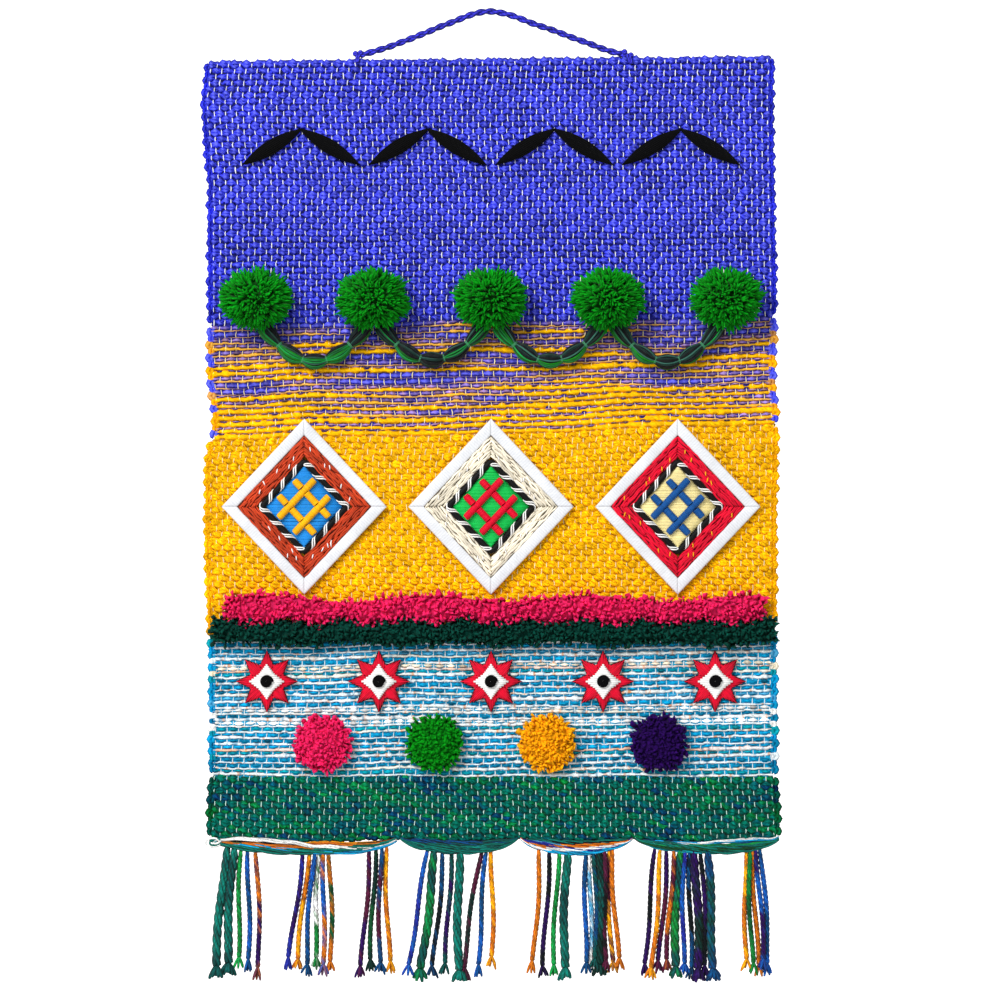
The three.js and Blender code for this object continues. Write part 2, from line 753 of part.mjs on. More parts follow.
function pileBand(left, right, topAt, bottomAt, seed) {
  const { columns } = PILE;
  return slabBody({
    columns,
    rows: PILE.rows,
    back: FACE - PARTING,
    lock: PILE.lock,
    place: (c, r) => {
      const [u, v] = [c / columns, r / PILE.rows];
      const onEnd = c === 0 || c === columns;
      const onRim = onEnd || r === 0 || r === PILE.rows;
      const height = onRim ? PILE.deep * 0.55 : PILE.deep + PILE.lump * uneven(seed + 7 * c + 3 * r);
      return new THREE.Vector3(
        lerp(left, right, u),
        FACE - PARTING - height,
        lerp(topAt(u), bottomAt(u), v),
      );
    },
  });
}

function buildPile() {
  const pinkLeft = PILE.left + PINK_BAND.inset;
  const pinkRight = PILE.right - PINK_BAND.inset;
  const share = (x) => (x - pinkLeft) / (pinkRight - pinkLeft);
  const lockRoom = PILE.lock * 1.3 + PARTING;
  const pink = pileBand(
    pinkLeft,
    pinkRight,
    (u) => PINK_BAND.top + 2.5 * Math.sin(u * 21),
    (u) => scallopLine(u) + lockRoom,
    11,
  );
  const green = pileBand(
    PILE.left,
    PILE.right,
    (u) => {
      const across = Math.min(Math.max(share(lerp(PILE.left, PILE.right, u)), 0), 1);
      return scallopLine(across) - lockRoom;
    },
    (u) => GREEN_BAND.bottom + 1.2 * Math.sin(u * 33),
    57,
  );
  addPiece("pink_pile", pink, COLOUR.pink);
  addPiece("green_pile", green, COLOUR.darkGreen);
}

function starOutline(middle, row, { points, outer, inner }, turn = 0) {
  return Array.from({ length: 2 * points }, (_, i) => {
    const angle = turn + (Math.PI * i) / points;
    const reach = i % 2 ? inner : outer;
    return new THREE.Vector2(middle + reach * Math.cos(angle), row + reach * Math.sin(angle));
  });
}

function buildStars() {
  for (let k = 0; k < STAR.count; k++) {
    const middle = (k - (STAR.count - 1) / 2) * STAR.pitch;
    const red = sewnPlate(starOutline(middle, STAR.row, STAR), STAR.thick);
    addPiece(`star_red_${k + 1}`, red, COLOUR.crimson, 0.6);
    const lozengeBack = FACE - 2 * PARTING - STAR.thick;
    const lozenge = starOutline(middle, STAR.row, STAR_LOZENGE);
    const white = sewnPlate(lozenge, STAR_LOZENGE.thick, 0.45, lozengeBack);
    addPiece(`star_white_${k + 1}`, white, COLOUR.white, 0.6);
    const eyeBack = lozengeBack - STAR_LOZENGE.thick - PARTING;
    const eye = starOutline(middle, STAR.row, STAR_EYE);
    addPiece(`star_black_${k + 1}`, sewnPlate(eye, STAR_EYE.thick, 0.45, eyeBack), COLOUR.felt);
  }
}

// A round of long pile: a domed lump with locks around its rim.
function roundelBody(middle, seed) {
  const back = FACE - PARTING;
  const rings = [
    { depth: 0, wide: 0.8, locks: false },
    { depth: 0.4, wide: 0.86, locks: true },
    { depth: 0.85, wide: 0.72, locks: false },
    { depth: 1, wide: 0.36, locks: false },
  ].map(({ depth, wide, locks }, r) => Array.from({ length: ROUNDEL.around }, (_, i) => {
    const angle = (2 * Math.PI * i) / ROUNDEL.around;
    const lump = r > 1 ? 0.05 * uneven(seed + 17 * r + i) : 0;
    const lock = locks && i % 2 ? ROUNDEL.lock * (1 + 0.2 * uneven(seed + i)) : 0;
    const reach = ROUNDEL.radius * (wide + lump) + lock;
    return new THREE.Vector3(
      middle + reach * Math.cos(angle),
      back - ROUNDEL.deep * (depth + (r > 1 ? lump : 0)),
      ROUNDEL.row + reach * Math.sin(angle),
    );
  }));
  return tubeBody(rings);
}

function buildRoundels() {
  const colours = [COLOUR.pink, COLOUR.leafGreen, COLOUR.gold, COLOUR.purple];
  colours.forEach((colour, k) => {
    const middle = (k - (ROUNDEL.count - 1) / 2) * ROUNDEL.pitch;
    addPiece(`roundel_${k + 1}`, roundelBody(middle, 90 * k), colour);
  });
}

buildCloth();
buildLowerEdge();
buildCord();
buildLeaves();
buildPompomRow();
buildMedallions();
buildPile();
buildStars();
buildRoundels();

export default wall;
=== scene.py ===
"""A hand-woven wool wall hanging: thick plain weave in colour bands, a twisted hanging cord, a
fringed lower edge, and a sewn-on geometric design of felt leaves, pompoms, medallions, pile
bands, stars and roundels.

Lengths below are millimetres in the frame's axes: X to the right, Z up, -Y out of the decorated
face, and the nail under the cord at the origin. They turn into metres where a mesh is made.
"""

import math

import bpy
import numpy as np
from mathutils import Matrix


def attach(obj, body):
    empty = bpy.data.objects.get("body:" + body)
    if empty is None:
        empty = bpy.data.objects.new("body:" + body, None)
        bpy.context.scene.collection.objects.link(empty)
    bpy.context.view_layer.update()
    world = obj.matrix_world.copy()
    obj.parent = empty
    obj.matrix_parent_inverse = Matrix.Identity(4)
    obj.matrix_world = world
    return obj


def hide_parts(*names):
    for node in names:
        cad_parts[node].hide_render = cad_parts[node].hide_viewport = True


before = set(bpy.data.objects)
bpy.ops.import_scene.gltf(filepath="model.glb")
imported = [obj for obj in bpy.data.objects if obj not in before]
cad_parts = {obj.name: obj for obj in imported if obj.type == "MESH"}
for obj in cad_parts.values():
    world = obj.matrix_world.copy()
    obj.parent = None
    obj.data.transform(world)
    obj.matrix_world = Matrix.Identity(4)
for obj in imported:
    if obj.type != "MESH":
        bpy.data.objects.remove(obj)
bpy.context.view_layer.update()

MM = 0.001
TAU = 2 * math.pi
GOLDEN = math.pi * (1 + 5**0.5)

# The cloth's outline: its corners, and its half widths by the way down.
CLOTH = {"thick": 6.0, "top_left": -33.9, "top_rise": 3.8, "bottom": -616.5}
FACE = -CLOTH["thick"]
SEWN = FACE - 0.3
EDGE_DOWN = [0, 30, 60, 90, 180, 240, 270, 300, 360, 450, 540, 590]
EDGE_LEFT = [214.5, 218, 216, 213, 213, 212.5, 208.5, 214.5, 215, 211.5, 212, 213.5]
EDGE_RIGHT = [213, 212.5, 212.5, 213, 214.5, 213, 216, 215, 214.5, 214.5, 215, 218]

# The lower edge's swags: their left and right ends and their sag, and the cloth's share of it.
SWAGS = [(-213, -69, 9), (-69, 21, 7.5), (21, 107, 7.5), (107, 217.5, 9)]
SAG_SHARE = 0.3

# The weave: weft rows from top to bottom, and white warp threads.
ROWS = 125
WARPS = 98
RINGS_PER_WARP = 3
ROW_PITCH = 4.67
SELVEDGE = 2.6
MIDDLE_DEPTH = 3.0
WARP_JITTER = 0.38

# Each band's rows and the shape of its wefts; shade is the painted shade where the yarn dives and along its
# edges. A warp has its half width, how far it comes forward, and the colour of the light that shines on it
# and how much, painted into its tint. The ground has a colour and a level, the level its painted shade
# between the yarns.
BANDS = {
    "violet": {"rows": (0, 42), "wide": 4.0, "deep": 1.6, "narrow": 0.5, "sway": 1.35, "shade": 0.85,
               "warp": (0.46, 2.3, "pale_blue", 0.03), "ground": ("dark_violet", 0.3)},
    "mixed": {"rows": (42, 60), "wide": 3.4, "deep": 1.6, "sway": 1.35, "shade": 0.4, "line": 1.4,
              "edge": (0.25, 0.9), "warp": (0.44, 1.3, "straw", 0.9), "ground": ("dark_violet", 0.9)},
    "gold": {"rows": (60, 92), "wide": 4.0, "deep": 1.2, "narrow": 0.35, "sway": 0.8, "shade": 0.12,
             "warp": (0.38, 0.9, "straw", 0.8), "ground": ("gold", 0.75)},
    "water": {"rows": (92, 115), "wide": 3.4, "deep": 1.6, "sway": 1.35, "shade": 0.35, "line": 1.15,
              "edge": (0.25, 0.1), "warp": (0.4, 1.4, "foam", 0.5), "ground": ("blue", 0.85)},
    "hem": {"rows": (115, 125), "wide": 4.2, "deep": 1.2, "narrow": 0.3, "sway": 1.0, "shade": 0.5,
            "warp": (0.38, 1.2, "mint", 0.6), "ground": ("hem", 0.4)},
}
# The plies of a thick weft yarn: how far they lie from its middle, and their girth.
WEFT_PLIES = {"apart": 0.36, "wide": 0.74, "deep": 0.85}
# How far a row climbs from left to right, by its share of the way down.
CLIMB_AT = [0, 0.2, 0.34, 0.48, 0.72, 0.92, 1]
CLIMB = [0, 1, 3, 10, 7, -1, 0]

# Each mixed row's share of violet, from the top.
MIXED_SHARES = [0.95, 0.83, 0.97, 0.78, 0.55, 0.92, 0.7, 0.35, 0.85,
                0.9, 0.72, 0.5, 0.62, 0.36, 0.52, 0.18, 0.42, 0.22]

# Each water row's dash, its line, and the dash's share.
WATER_ROWS = [
    ("teal", "white", 0.6), ("blue", "white", 0.55), ("blue", "white", 0.6), ("pale_blue", "cream", 0.4),
    ("blue", "white", 0.62), ("cream", "peach", 0.55), ("teal", "cream", 0.45), ("blue", "white", 0.5),
    ("blue", "white", 0.66), ("blue", "cream", 0.5), ("pale_blue", "white", 0.4), ("blue", "white", 0.6),
    ("white", "cream", 0.55), ("steel", "white", 0.45), ("white", "white", 0.6), ("teal", "cream", 0.55),
    ("blue", "white", 0.55), ("steel", "white", 0.62), ("blue", "peach", 0.5), ("teal", "white", 0.45),
    ("steel", "white", 0.6), ("steel", "cream", 0.5), ("teal", "white", 0.55),
]
# The colours that the hem's teal runs into: how fast, their seed, their gain, level and limit.
HEM_RUNS = [
    ("hem_green", 2.5, 200, 0.9, 0.0, 0.9),
    ("hem_blue", 2, 300, 1.1, -0.1, 0.9),
    ("bright_green", 3, 400, 1.6, -1.0, 0.7),
]

# Yarn colours.
COLOURS = {
    "violet": "666ef0", "dark_violet": "2a2c9c", "tan": "e0ac74", "straw": "fff0b4", "mint": "c4fce8",
    "gold": "fdbe06", "cotton": "ffffff", "white": "fcfcfa", "foam": "eaf6fc", "cream": "f6ecd6",
    "peach": "f09a54", "orange": "d87a14", "blue": "0cacdc", "pale_blue": "5cb4dc", "steel": "0a8cb4",
    "teal": "0cacba", "hem": "027a6c", "hem_green": "028a48", "hem_blue": "054c80", "bright_green": "14a850",
    "cord": "3836cc", "black": "020203", "pine": "009014", "bottle": "06332c", "ink": "081418",
    "deep_teal": "045450", "deep_green": "0a5a30", "binding": "4a9a6c", "leaf_green": "0f8a3c",
    "brick": "c8401a", "crimson": "e4002f", "sky": "1f8fe0", "royal": "1462bc", "bar_blue": "10569c",
    "braid": "dadce0", "sage": "35685a", "green": "10c454", "butter": "f6e6a4", "pink": "f0286c",
    "moss": "00483c", "purple": "2e045c", "indigo": "2430a0", "yellow": "ffb60a", "wine": "5c183c",
}


def linear(name):
    """A yarn colour as three linear numbers."""
    code = COLOURS[name]
    v = np.array([int(code[i : i + 2], 16) for i in (0, 2, 4)]) / 255
    return np.where(v <= 0.04045, v / 12.92, ((v + 0.055) / 1.055) ** 2.4)


def mixed(a, b, share):
    """Colour a turning into colour b by a share, which may be an array."""
    share = np.asarray(share, float)[..., None]
    return a * (1 - share) + b * share


def deepened(tint, amount):
    """A tint under painted shade: darker and fuller, by an amount from 0 to 1."""
    amount = np.asarray(amount, float)[..., None]
    return tint ** (1 + amount) * (1 - 0.35 * amount)


def dice(seed):
    return np.random.default_rng(seed)


def drift(along, seed, waves=4):
    """A smooth wander from about -1 to 1 along an array, the same one for each seed."""
    throw = dice(seed)
    total = np.zeros_like(np.asarray(along, float))
    for k in range(waves):
        pace = 1.7**k * throw.uniform(0.8, 1.2)
        total += np.sin(TAU * (along * pace + throw.random())) / (1 + 0.6 * k)
    return total / 1.8


def uneven(index):
    """The solids' own repeatable number from -1 to 1 for each whole number."""
    wave = math.sin(index * 12.9898) * 43758.5453
    return 2 * (wave - math.floor(wave)) - 1


def unit(v):
    return v / np.maximum(np.linalg.norm(v, axis=-1, keepdims=True), 1e-9)


def xyz(x, y, z):
    """Points from their coordinates, which may be arrays and plain numbers."""
    return np.stack(np.broadcast_arrays(x, y, z), -1)


def across_and_front(path, out=(0, -1, 0), closed=False):
    """The directions across a line and to its front, at each of its points."""
    if closed:
        way = np.roll(path, -1, -2) - np.roll(path, 1, -2)
    else:
        way = np.gradient(path, axis=-2)
    along = unit(way)
    side = unit(np.cross(along, np.broadcast_to(out, path.shape)))
    return side, np.cross(side, along)


def wound(line, reach, angle, closed=False):
    """A line that winds round another one: reach is its distance, and angle is its turn."""
    side, front = across_and_front(line, closed=closed)
    turn = np.asarray(angle)[:, None]
    reach = np.broadcast_to(reach, len(line))[:, None]
    return line + reach * (np.cos(turn) * side + np.sin(turn) * front)


def length_along(line):
    """The length from a line's start to each of its points."""
    return np.concatenate([[0], np.cumsum(np.linalg.norm(np.diff(line, axis=0), axis=1))])


def evenly(line, count, endpoint=True):
    """Even steps along a dense line, and its length."""
    length = length_along(line)
    even = np.linspace(0, length[-1], count, endpoint=endpoint)
    return np.stack([np.interp(even, length, axis) for axis in line.T], 1), length[-1]


class Yarns:
    """Tubes and patches joined into one mesh. Each point carries its tint and its place on the
    yarn: the length along it and the turn about it."""

    def __init__(self):
        self.points, self.tints, self.places, self.faces = [], [], [], []
        self.total = 0

    def add(self, points, tints, places, faces):
        self.points.append(points.reshape(-1, 3))
        self.tints.append(tints.reshape(-1, 3))
        self.places.append(places.reshape(-1, 3))
        self.faces += [f + self.total for f in faces]
        self.total += len(self.points[-1])

    def tubes(self, path, tint, wide, deep=None, out=(0, -1, 0), sides=5, closed=False, shadow=0.0):
        """path is one line or (count, rings, 3). wide is the half width across out, and deep the
        half depth towards it. A shadow deepens the tint along both edges."""
        path = np.asarray(path, float)
        path = path.reshape((-1,) + path.shape[-2:])
        count, rings = path.shape[:2]
        side, front = across_and_front(path, out, closed)
        angle = math.pi / 2 + TAU * np.arange(sides) / sides
        c, s = np.cos(angle), np.sin(angle)
        deep = wide if deep is None else deep
        wide = np.broadcast_to(wide, (count, rings))[..., None, None]
        deep = np.broadcast_to(deep, (count, rings))[..., None, None]
        points = path[:, :, None] + wide * c[:, None] * side[:, :, None]
        points = points + deep * s[:, None] * front[:, :, None]
        step = np.linalg.norm(np.diff(path, axis=1), axis=2)
        length = np.concatenate([np.zeros((count, 1)), np.cumsum(step, 1)], 1)
        length += 7.31 * np.arange(count)[:, None]
        places = np.empty((count, rings, sides, 3))
        places[..., 0] = length[..., None]
        places[..., 1] = c
        places[..., 2] = s
        tint = np.broadcast_to(tint, (count, rings, 3))[:, :, None]
        self.shell(points, deepened(tint, shadow * c**2), places, closed)

    def shell(self, points, tints, places, closed=False):
        """The skin over (count, rings, sides) points, round each ring and from ring to ring."""
        index = np.arange(math.prod(points.shape[:3])).reshape(points.shape[:3])
        here, there = index, np.roll(index, -1, 1)
        if not closed:
            here, there = here[:, :-1], there[:, :-1]
        corners = [here, there, np.roll(there, -1, 2), np.roll(here, -1, 2)]
        faces = [np.stack(corners, -1).reshape(-1, 4)]
        if not closed:
            faces += [index[:, 0], index[:, -1, ::-1]]
        self.add(points, tints, places, faces)

    def patch(self, grid, tint, flip=False):
        """A sheet of cells over a (rows, columns, 3) grid of points."""
        rows, columns = grid.shape[:2]
        index = np.arange(rows * columns).reshape(rows, columns)
        quad = [index[:-1, :-1], index[1:, :-1], index[1:, 1:], index[:-1, 1:]]
        faces = np.stack(quad[::-1] if flip else quad, -1).reshape(-1, 4)
        places = xyz(grid[..., 0], 1.0, 0.0)
        self.add(grid, np.broadcast_to(tint, grid.shape), places, [faces])

    def piece(self, name, material, node):
        """The mesh as a piece of the hanging that stands for a solid."""
        mesh = bpy.data.meshes.new(name)
        corners = np.concatenate([f.ravel() for f in self.faces])
        sizes = np.concatenate([np.full(len(f), f.shape[1]) for f in self.faces])
        mesh.vertices.add(self.total)
        mesh.vertices.foreach_set("co", (np.concatenate(self.points) * MM).ravel())
        mesh.loops.add(len(corners))
        mesh.loops.foreach_set("vertex_index", corners.astype(np.int32))
        mesh.polygons.add(len(sizes))
        mesh.polygons.foreach_set("loop_start", (np.cumsum(sizes) - sizes).astype(np.int32))
        tints = np.hstack([np.concatenate(self.tints), np.ones((self.total, 1))])
        mesh.attributes.new("tint", "FLOAT_COLOR", "POINT").data.foreach_set("color", tints.ravel())
        places = np.concatenate(self.places)
        mesh.attributes.new("yarn", "FLOAT_VECTOR", "POINT").data.foreach_set("vector", places.ravel())
        mesh.update(calc_edges=True)
        mesh.shade_smooth()
        mesh.materials.append(material)
        obj = new_object(name, mesh)
        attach(obj, "root")
        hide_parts(node)
        return obj


def new_object(name, data, place=(0, 0, 0), turn=(0, 0, 0)):
    obj = bpy.data.objects.new(name, data)
    obj.location = place
    obj.rotation_euler = turn
    bpy.context.scene.collection.objects.link(obj)
    return obj


# The fibres' streaks: a turn's length round the yarn, how short they are, and their fineness.
FIBRE = {"turn": 24.0, "stretch": 0.16, "scale": 2.4}


def new_material(name, **values):
    """A material, with its shader's plain values. An underscore in their names is a space."""
    material = bpy.data.materials.new(name)
    material.use_nodes = True
    shader = material.node_tree.nodes["Principled BSDF"]
    for socket, value in values.items():
        shader.inputs[socket.replace("_", " ")].default_value = value
    return material, shader


def yarn_material(name, ply, lean, groove, fibre, rough=0.85, sheen=0.06, relief=0.25, gloss=0.2):
    """Spun yarn: its tint has painted shade in the grooves between the plies and painted highlight along
    them, is mottled by fibres, and has a soft sheen.
    ply is the stripe's pitch in millimetres, and lean how far a stripe winds round the yarn."""
    material, shader = new_material(
        name, Roughness=rough, Sheen_Weight=sheen, Sheen_Roughness=0.4, Specular_IOR_Level=gloss
    )
    nodes, links = material.node_tree.nodes, material.node_tree.links

    def maths(operation, *values):
        node = nodes.new("ShaderNodeMath")
        node.operation = operation
        for socket, value in zip(node.inputs, values):
            if isinstance(value, (int, float)):
                socket.default_value = value
            else:
                links.new(value, socket)
        return node.outputs[0]

    def attribute(layer, output):
        node = nodes.new("ShaderNodeAttribute")
        node.attribute_name = layer
        return node.outputs[output]

    def noise(vector, scale, detail, roughness=0.5):
        node = nodes.new("ShaderNodeTexNoise")
        node.inputs["Scale"].default_value = scale
        node.inputs["Detail"].default_value = detail
        node.inputs["Roughness"].default_value = roughness
        links.new(vector, node.inputs["Vector"])
        return node.outputs[0]

    parts = nodes.new("ShaderNodeSeparateXYZ")
    links.new(attribute("yarn", "Vector"), parts.inputs[0])
    along = parts.outputs[0]
    around = maths("ARCTAN2", parts.outputs[2], parts.outputs[1])
    wave = maths("SINE", maths("MULTIPLY_ADD", around, lean, maths("MULTIPLY", along, TAU / ply)))
    stripe = maths("MULTIPLY", maths("MULTIPLY", wave, wave), wave)
    turned = maths("MULTIPLY_ADD", along, TAU / FIBRE["turn"], around)
    streak = nodes.new("ShaderNodeCombineXYZ")
    links.new(maths("MULTIPLY", along, FIBRE["stretch"]), streak.inputs[0])
    links.new(maths("COSINE", turned), streak.inputs[1])
    links.new(maths("SINE", turned), streak.inputs[2])
    fibres = noise(streak.outputs[0], FIBRE["scale"], 3, 0.7)
    patches = noise(nodes.new("ShaderNodeTexCoord").outputs["Object"], 60, 2)
    fleck = maths("MULTIPLY_ADD", fibres, 4 * fibre, 1 - 2 * fibre)
    # Painted shade in the ply grooves and painted highlight along the plies, by the stripe.
    shade = maths("MULTIPLY_ADD", stripe, groove / 2, 1 - groove / 6)
    tone = maths("MULTIPLY_ADD", patches, 0.3, 0.85)
    level = maths("MULTIPLY", maths("MULTIPLY", fleck, shade), tone)
    colour = nodes.new("ShaderNodeVectorMath")
    colour.operation = "SCALE"
    links.new(attribute("tint", "Color"), colour.inputs[0])
    links.new(level, colour.inputs["Scale"])
    links.new(colour.outputs[0], shader.inputs["Base Color"])
    bump = nodes.new("ShaderNodeBump")
    bump.inputs["Strength"].default_value = 0.6
    bump.inputs["Distance"].default_value = relief * MM
    links.new(maths("MULTIPLY_ADD", stripe, groove, fibres), bump.inputs["Height"])
    links.new(bump.outputs[0], shader.inputs["Normal"])
    return material


WOOL = yarn_material("Hand_spun_wool", 3.0, 3.0, 0.35, 0.95, relief=0.5, sheen=0.02, gloss=0.06)
FINE_WOOL = yarn_material("Fine_spun_wool", 4.4, 2.0, 0.12, 0.6, sheen=0.02, gloss=0.06)
GROUND = yarn_material("Shaded_ground", 5.0, 1.0, 0.1, 0.3)
COTTON = yarn_material("Cotton_warp", 3.0, 2.0, 0.15, 0.1, rough=0.7)
CORD_YARN = yarn_material("Twisted_cord_yarn", 3.4, 3.0, 1.0, 1.0, gloss=0.3)
FRINGE_YARN = yarn_material("Fringe_yarn", 3.4, 3.0, 0.35, 1.1)
TUFT_WOOL = yarn_material("Cut_pile_wool", 9.0, 5.0, 0.3, 0.6, sheen=0.03, gloss=0.1)
FELT = yarn_material("Black_felt_thread", 6.0, 3.0, 0.4, 0.6, sheen=0.02, gloss=0.1)
STITCH = yarn_material("Laid_stitches", 7.0, 4.0, 0.3, 0.4, rough=0.65)
SATIN = yarn_material("Wound_thread", 4.0, 3.0, 0.15, 0.2, rough=0.5)
RIBBON = yarn_material("White_braid", 1.9, 0.0, 0.15, 0.1, rough=0.6, relief=0.2)


def make_camera():
    """The camera: straight on, 3 m in front of the cloth's face."""
    lens = bpy.data.cameras.new("Front_camera")
    lens.lens = 144
    lens.sensor_width = 36
    place = (0.00675, -3.006, -0.363)
    bpy.context.scene.camera = new_object("Front_camera", lens, place, (math.pi / 2, 0, 0))


# The hanging cord, over the nail and down to a knot at each end.
CORD = {"radius": 2.7, "ply": 1.6, "lay": 16, "depth": -3.0, "tuck": 3.0, "rings_per_turn": 14, "sides": 8}
CORD_SHADOW = 1.6
CORD_ROUTE = [
    (-95, -28.2), (-90.5, -27), (-83, -24.8), (-76, -22.6), (-68, -19.6), (-60.5, -16.8), (-53, -13.8),
    (-45.5, -10.8), (-38, -7.6), (-30.5, -4.8), (-23, -1.8), (-15.5, 1.1), (-8, 3.1), (-0.5, 3.8), (7, 2.8),
    (14.5, 1), (22, -1.6), (29.5, -4.6), (37, -7.2), (44.5, -9.6), (52, -12.4), (59.5, -15.3), (67, -18),
    (74.5, -20.6), (82, -23.6), (90, -26.2), (98.4, -28.2),
]
KNOT = {"across": 4.6, "deep": 4.2, "yarn": 1.45, "loop": 0.85, "shadow": 1.4}
# Each knot's two lobes and the foot of its neck, across and up from its middle.
KNOT_SHAPES = {
    "left": {"lobes": [(-1.9, 1.3), (1.8, 2.0)], "foot": (-0.6, -5.5)},
    "right": {"lobes": [(-2.9, 2.6), (1.9, 0.2)], "foot": (2.0, -6.5)},
}


def twisted(path, radius, lay, plies, turn=0.0):
    """Lines of several plies laid round each other along one line of many points."""
    length = length_along(path)
    return np.stack([wound(path, radius, TAU * (length / lay + k / plies + turn)) for k in range(plies)])


def smooth_line(points, count):
    """A smooth line through given points, evenly stepped, and its length."""
    padded = np.vstack([2 * points[0] - points[1], points, 2 * points[-1] - points[-2]])
    t = np.arange(0, 1, 0.1)[:, None]
    fine = []
    for k in range(len(points) - 1):
        p0, p1, p2, p3 = padded[k : k + 4]
        curve = 2 * p1 + (p2 - p0) * t + (2 * p0 - 5 * p1 + 4 * p2 - p3) * t**2
        fine.append(0.5 * (curve + (3 * p1 - p0 - 3 * p2 + p3) * t**3))
    return evenly(np.vstack(fine + [points[-1:]]), count)


def make_cord():
    """The cord of two plies, with a knot at each end."""
    route = np.array([(x, CORD["depth"], z) for x, z in CORD_ROUTE], float)
    start = route[0] + unit(route[0] - route[1]) * CORD["tuck"]
    finish = route[-1] + unit(route[-1] - route[-2]) * CORD["tuck"]
    whole = np.vstack([start, route, finish])
    length = smooth_line(whole, 9)[1]
    rings = int(length / CORD["lay"] * CORD["rings_per_turn"])
    line = smooth_line(whole, rings)[0]
    yarns = Yarns()
    plies = twisted(line, CORD["radius"] - CORD["ply"], CORD["lay"], 2)
    shade = 1 + 0.12 * drift(np.linspace(0, 6, rings), 3)
    tint = linear("cord") * shade[:, None]
    yarns.tubes(plies, tint, CORD["ply"] * 0.98, sides=CORD["sides"], shadow=CORD_SHADOW)
    cord = yarns.piece("Hanging_cord", CORD_YARN, "hanging_cord")
    knots = [
        make_knot("left", route[0], route[1]),
        make_knot("right", route[-1], route[-2]),
    ]


def make_knot(side, end, before):
    """A tight knot: two round lobes over a neck that goes down into the cloth."""
    foot_x, foot_z = KNOT_SHAPES[side]["foot"]
    centre = end + unit(end - before) * (KNOT["across"] + 0.3)
    centre[1] = -KNOT["deep"] - 0.3
    x, y, z = centre
    yarn, colour = KNOT["yarn"], linear("cord")
    yarns = Yarns()
    turn = np.linspace(0, TAU, 11)[:-1]
    t = np.linspace(0, 1, 8)
    for k, (across, up) in enumerate(KNOT_SHAPES[side]["lobes"]):
        lobe = xyz(
            x + across + KNOT["loop"] * np.cos(turn),
            y + 0.5 * k + 0.3 * np.sin(2 * turn),
            z + up + KNOT["loop"] * np.sin(turn),
        )
        yarns.tubes(lobe, colour, yarn, yarn * 1.3, sides=7, closed=True, shadow=KNOT["shadow"])
    for across, up in KNOT_SHAPES[side]["lobes"]:
        neck = xyz(
            x + across * 0.5 * (1 - t) + foot_x * t + 0.25 * across * t,
            y - 0.8 - 1.9 * t,
            z + up * 0.3 * (1 - t) + foot_z * t,
        )
        yarns.tubes(neck, colour, yarn * 0.8, sides=6, shadow=KNOT["shadow"])
    link = end + (centre - end) * np.linspace(-0.3, 1.0, 6)[:, None]
    yarns.tubes(link, colour, yarn * 1.1, sides=7, shadow=KNOT["shadow"])
    return yarns.piece(f"Knot_{side}", CORD_YARN, f"knot_{side}")


# The woven cloth. In the functions below, u is the way across and v the way down.
def swag_drop(u):
    """How far the lower edge hangs under its straight line."""
    x = -EDGE_LEFT[-1] + u * (EDGE_LEFT[-1] + EDGE_RIGHT[-1])
    drop = np.zeros_like(x)
    for left, right, sag in SWAGS:
        t = np.clip((x - left) / (right - left), 0, 1)
        drop += 4 * t * (1 - t) * sag * SAG_SHARE
    return drop


def cloth_height(u, v):
    """The height of a place on the cloth, with the rows' climb and small waves."""
    straight = (CLOTH["top_left"] + CLOTH["top_rise"] * u) * (1 - v) + CLOTH["bottom"] * v
    climb = np.interp(v, CLIMB_AT, CLIMB) * (u - 0.5)
    wave = 0.7 * np.sin(9 * u + 14 * v) + 0.5 * np.sin(23 * u - 9 * v + 1)
    return straight - swag_drop(u) * v**8 + climb + wave * np.sin(math.pi * np.clip(v, 0, 1))


def cloth_across(u, z):
    down = CLOTH["top_left"] - z
    left = -np.interp(down, EDGE_DOWN, EDGE_LEFT) + SELVEDGE
    right = np.interp(down, EDGE_DOWN, EDGE_RIGHT) - SELVEDGE
    return left * (1 - u) + right * u


def cloth_depth(u, v):
    """The middle of the cloth's thickness: slightly uneven, with the rolled hem proud."""
    swell = 0.25 * np.sin(11 * u + 5 * v) * np.sin(7 * v + 2)
    proud = (0.5 + u) * np.clip(1 - (v - 0.006) / 0.01, 0, 1)
    return -MIDDLE_DEPTH - swell - proud


def column_sway(u, v):
    """How the warps stray sideways."""
    return (0.9 * np.sin(8 * v + 5 * u) + 0.4 * np.sin(31 * v + 17 * u)) * np.sin(math.pi * u) ** 0.3


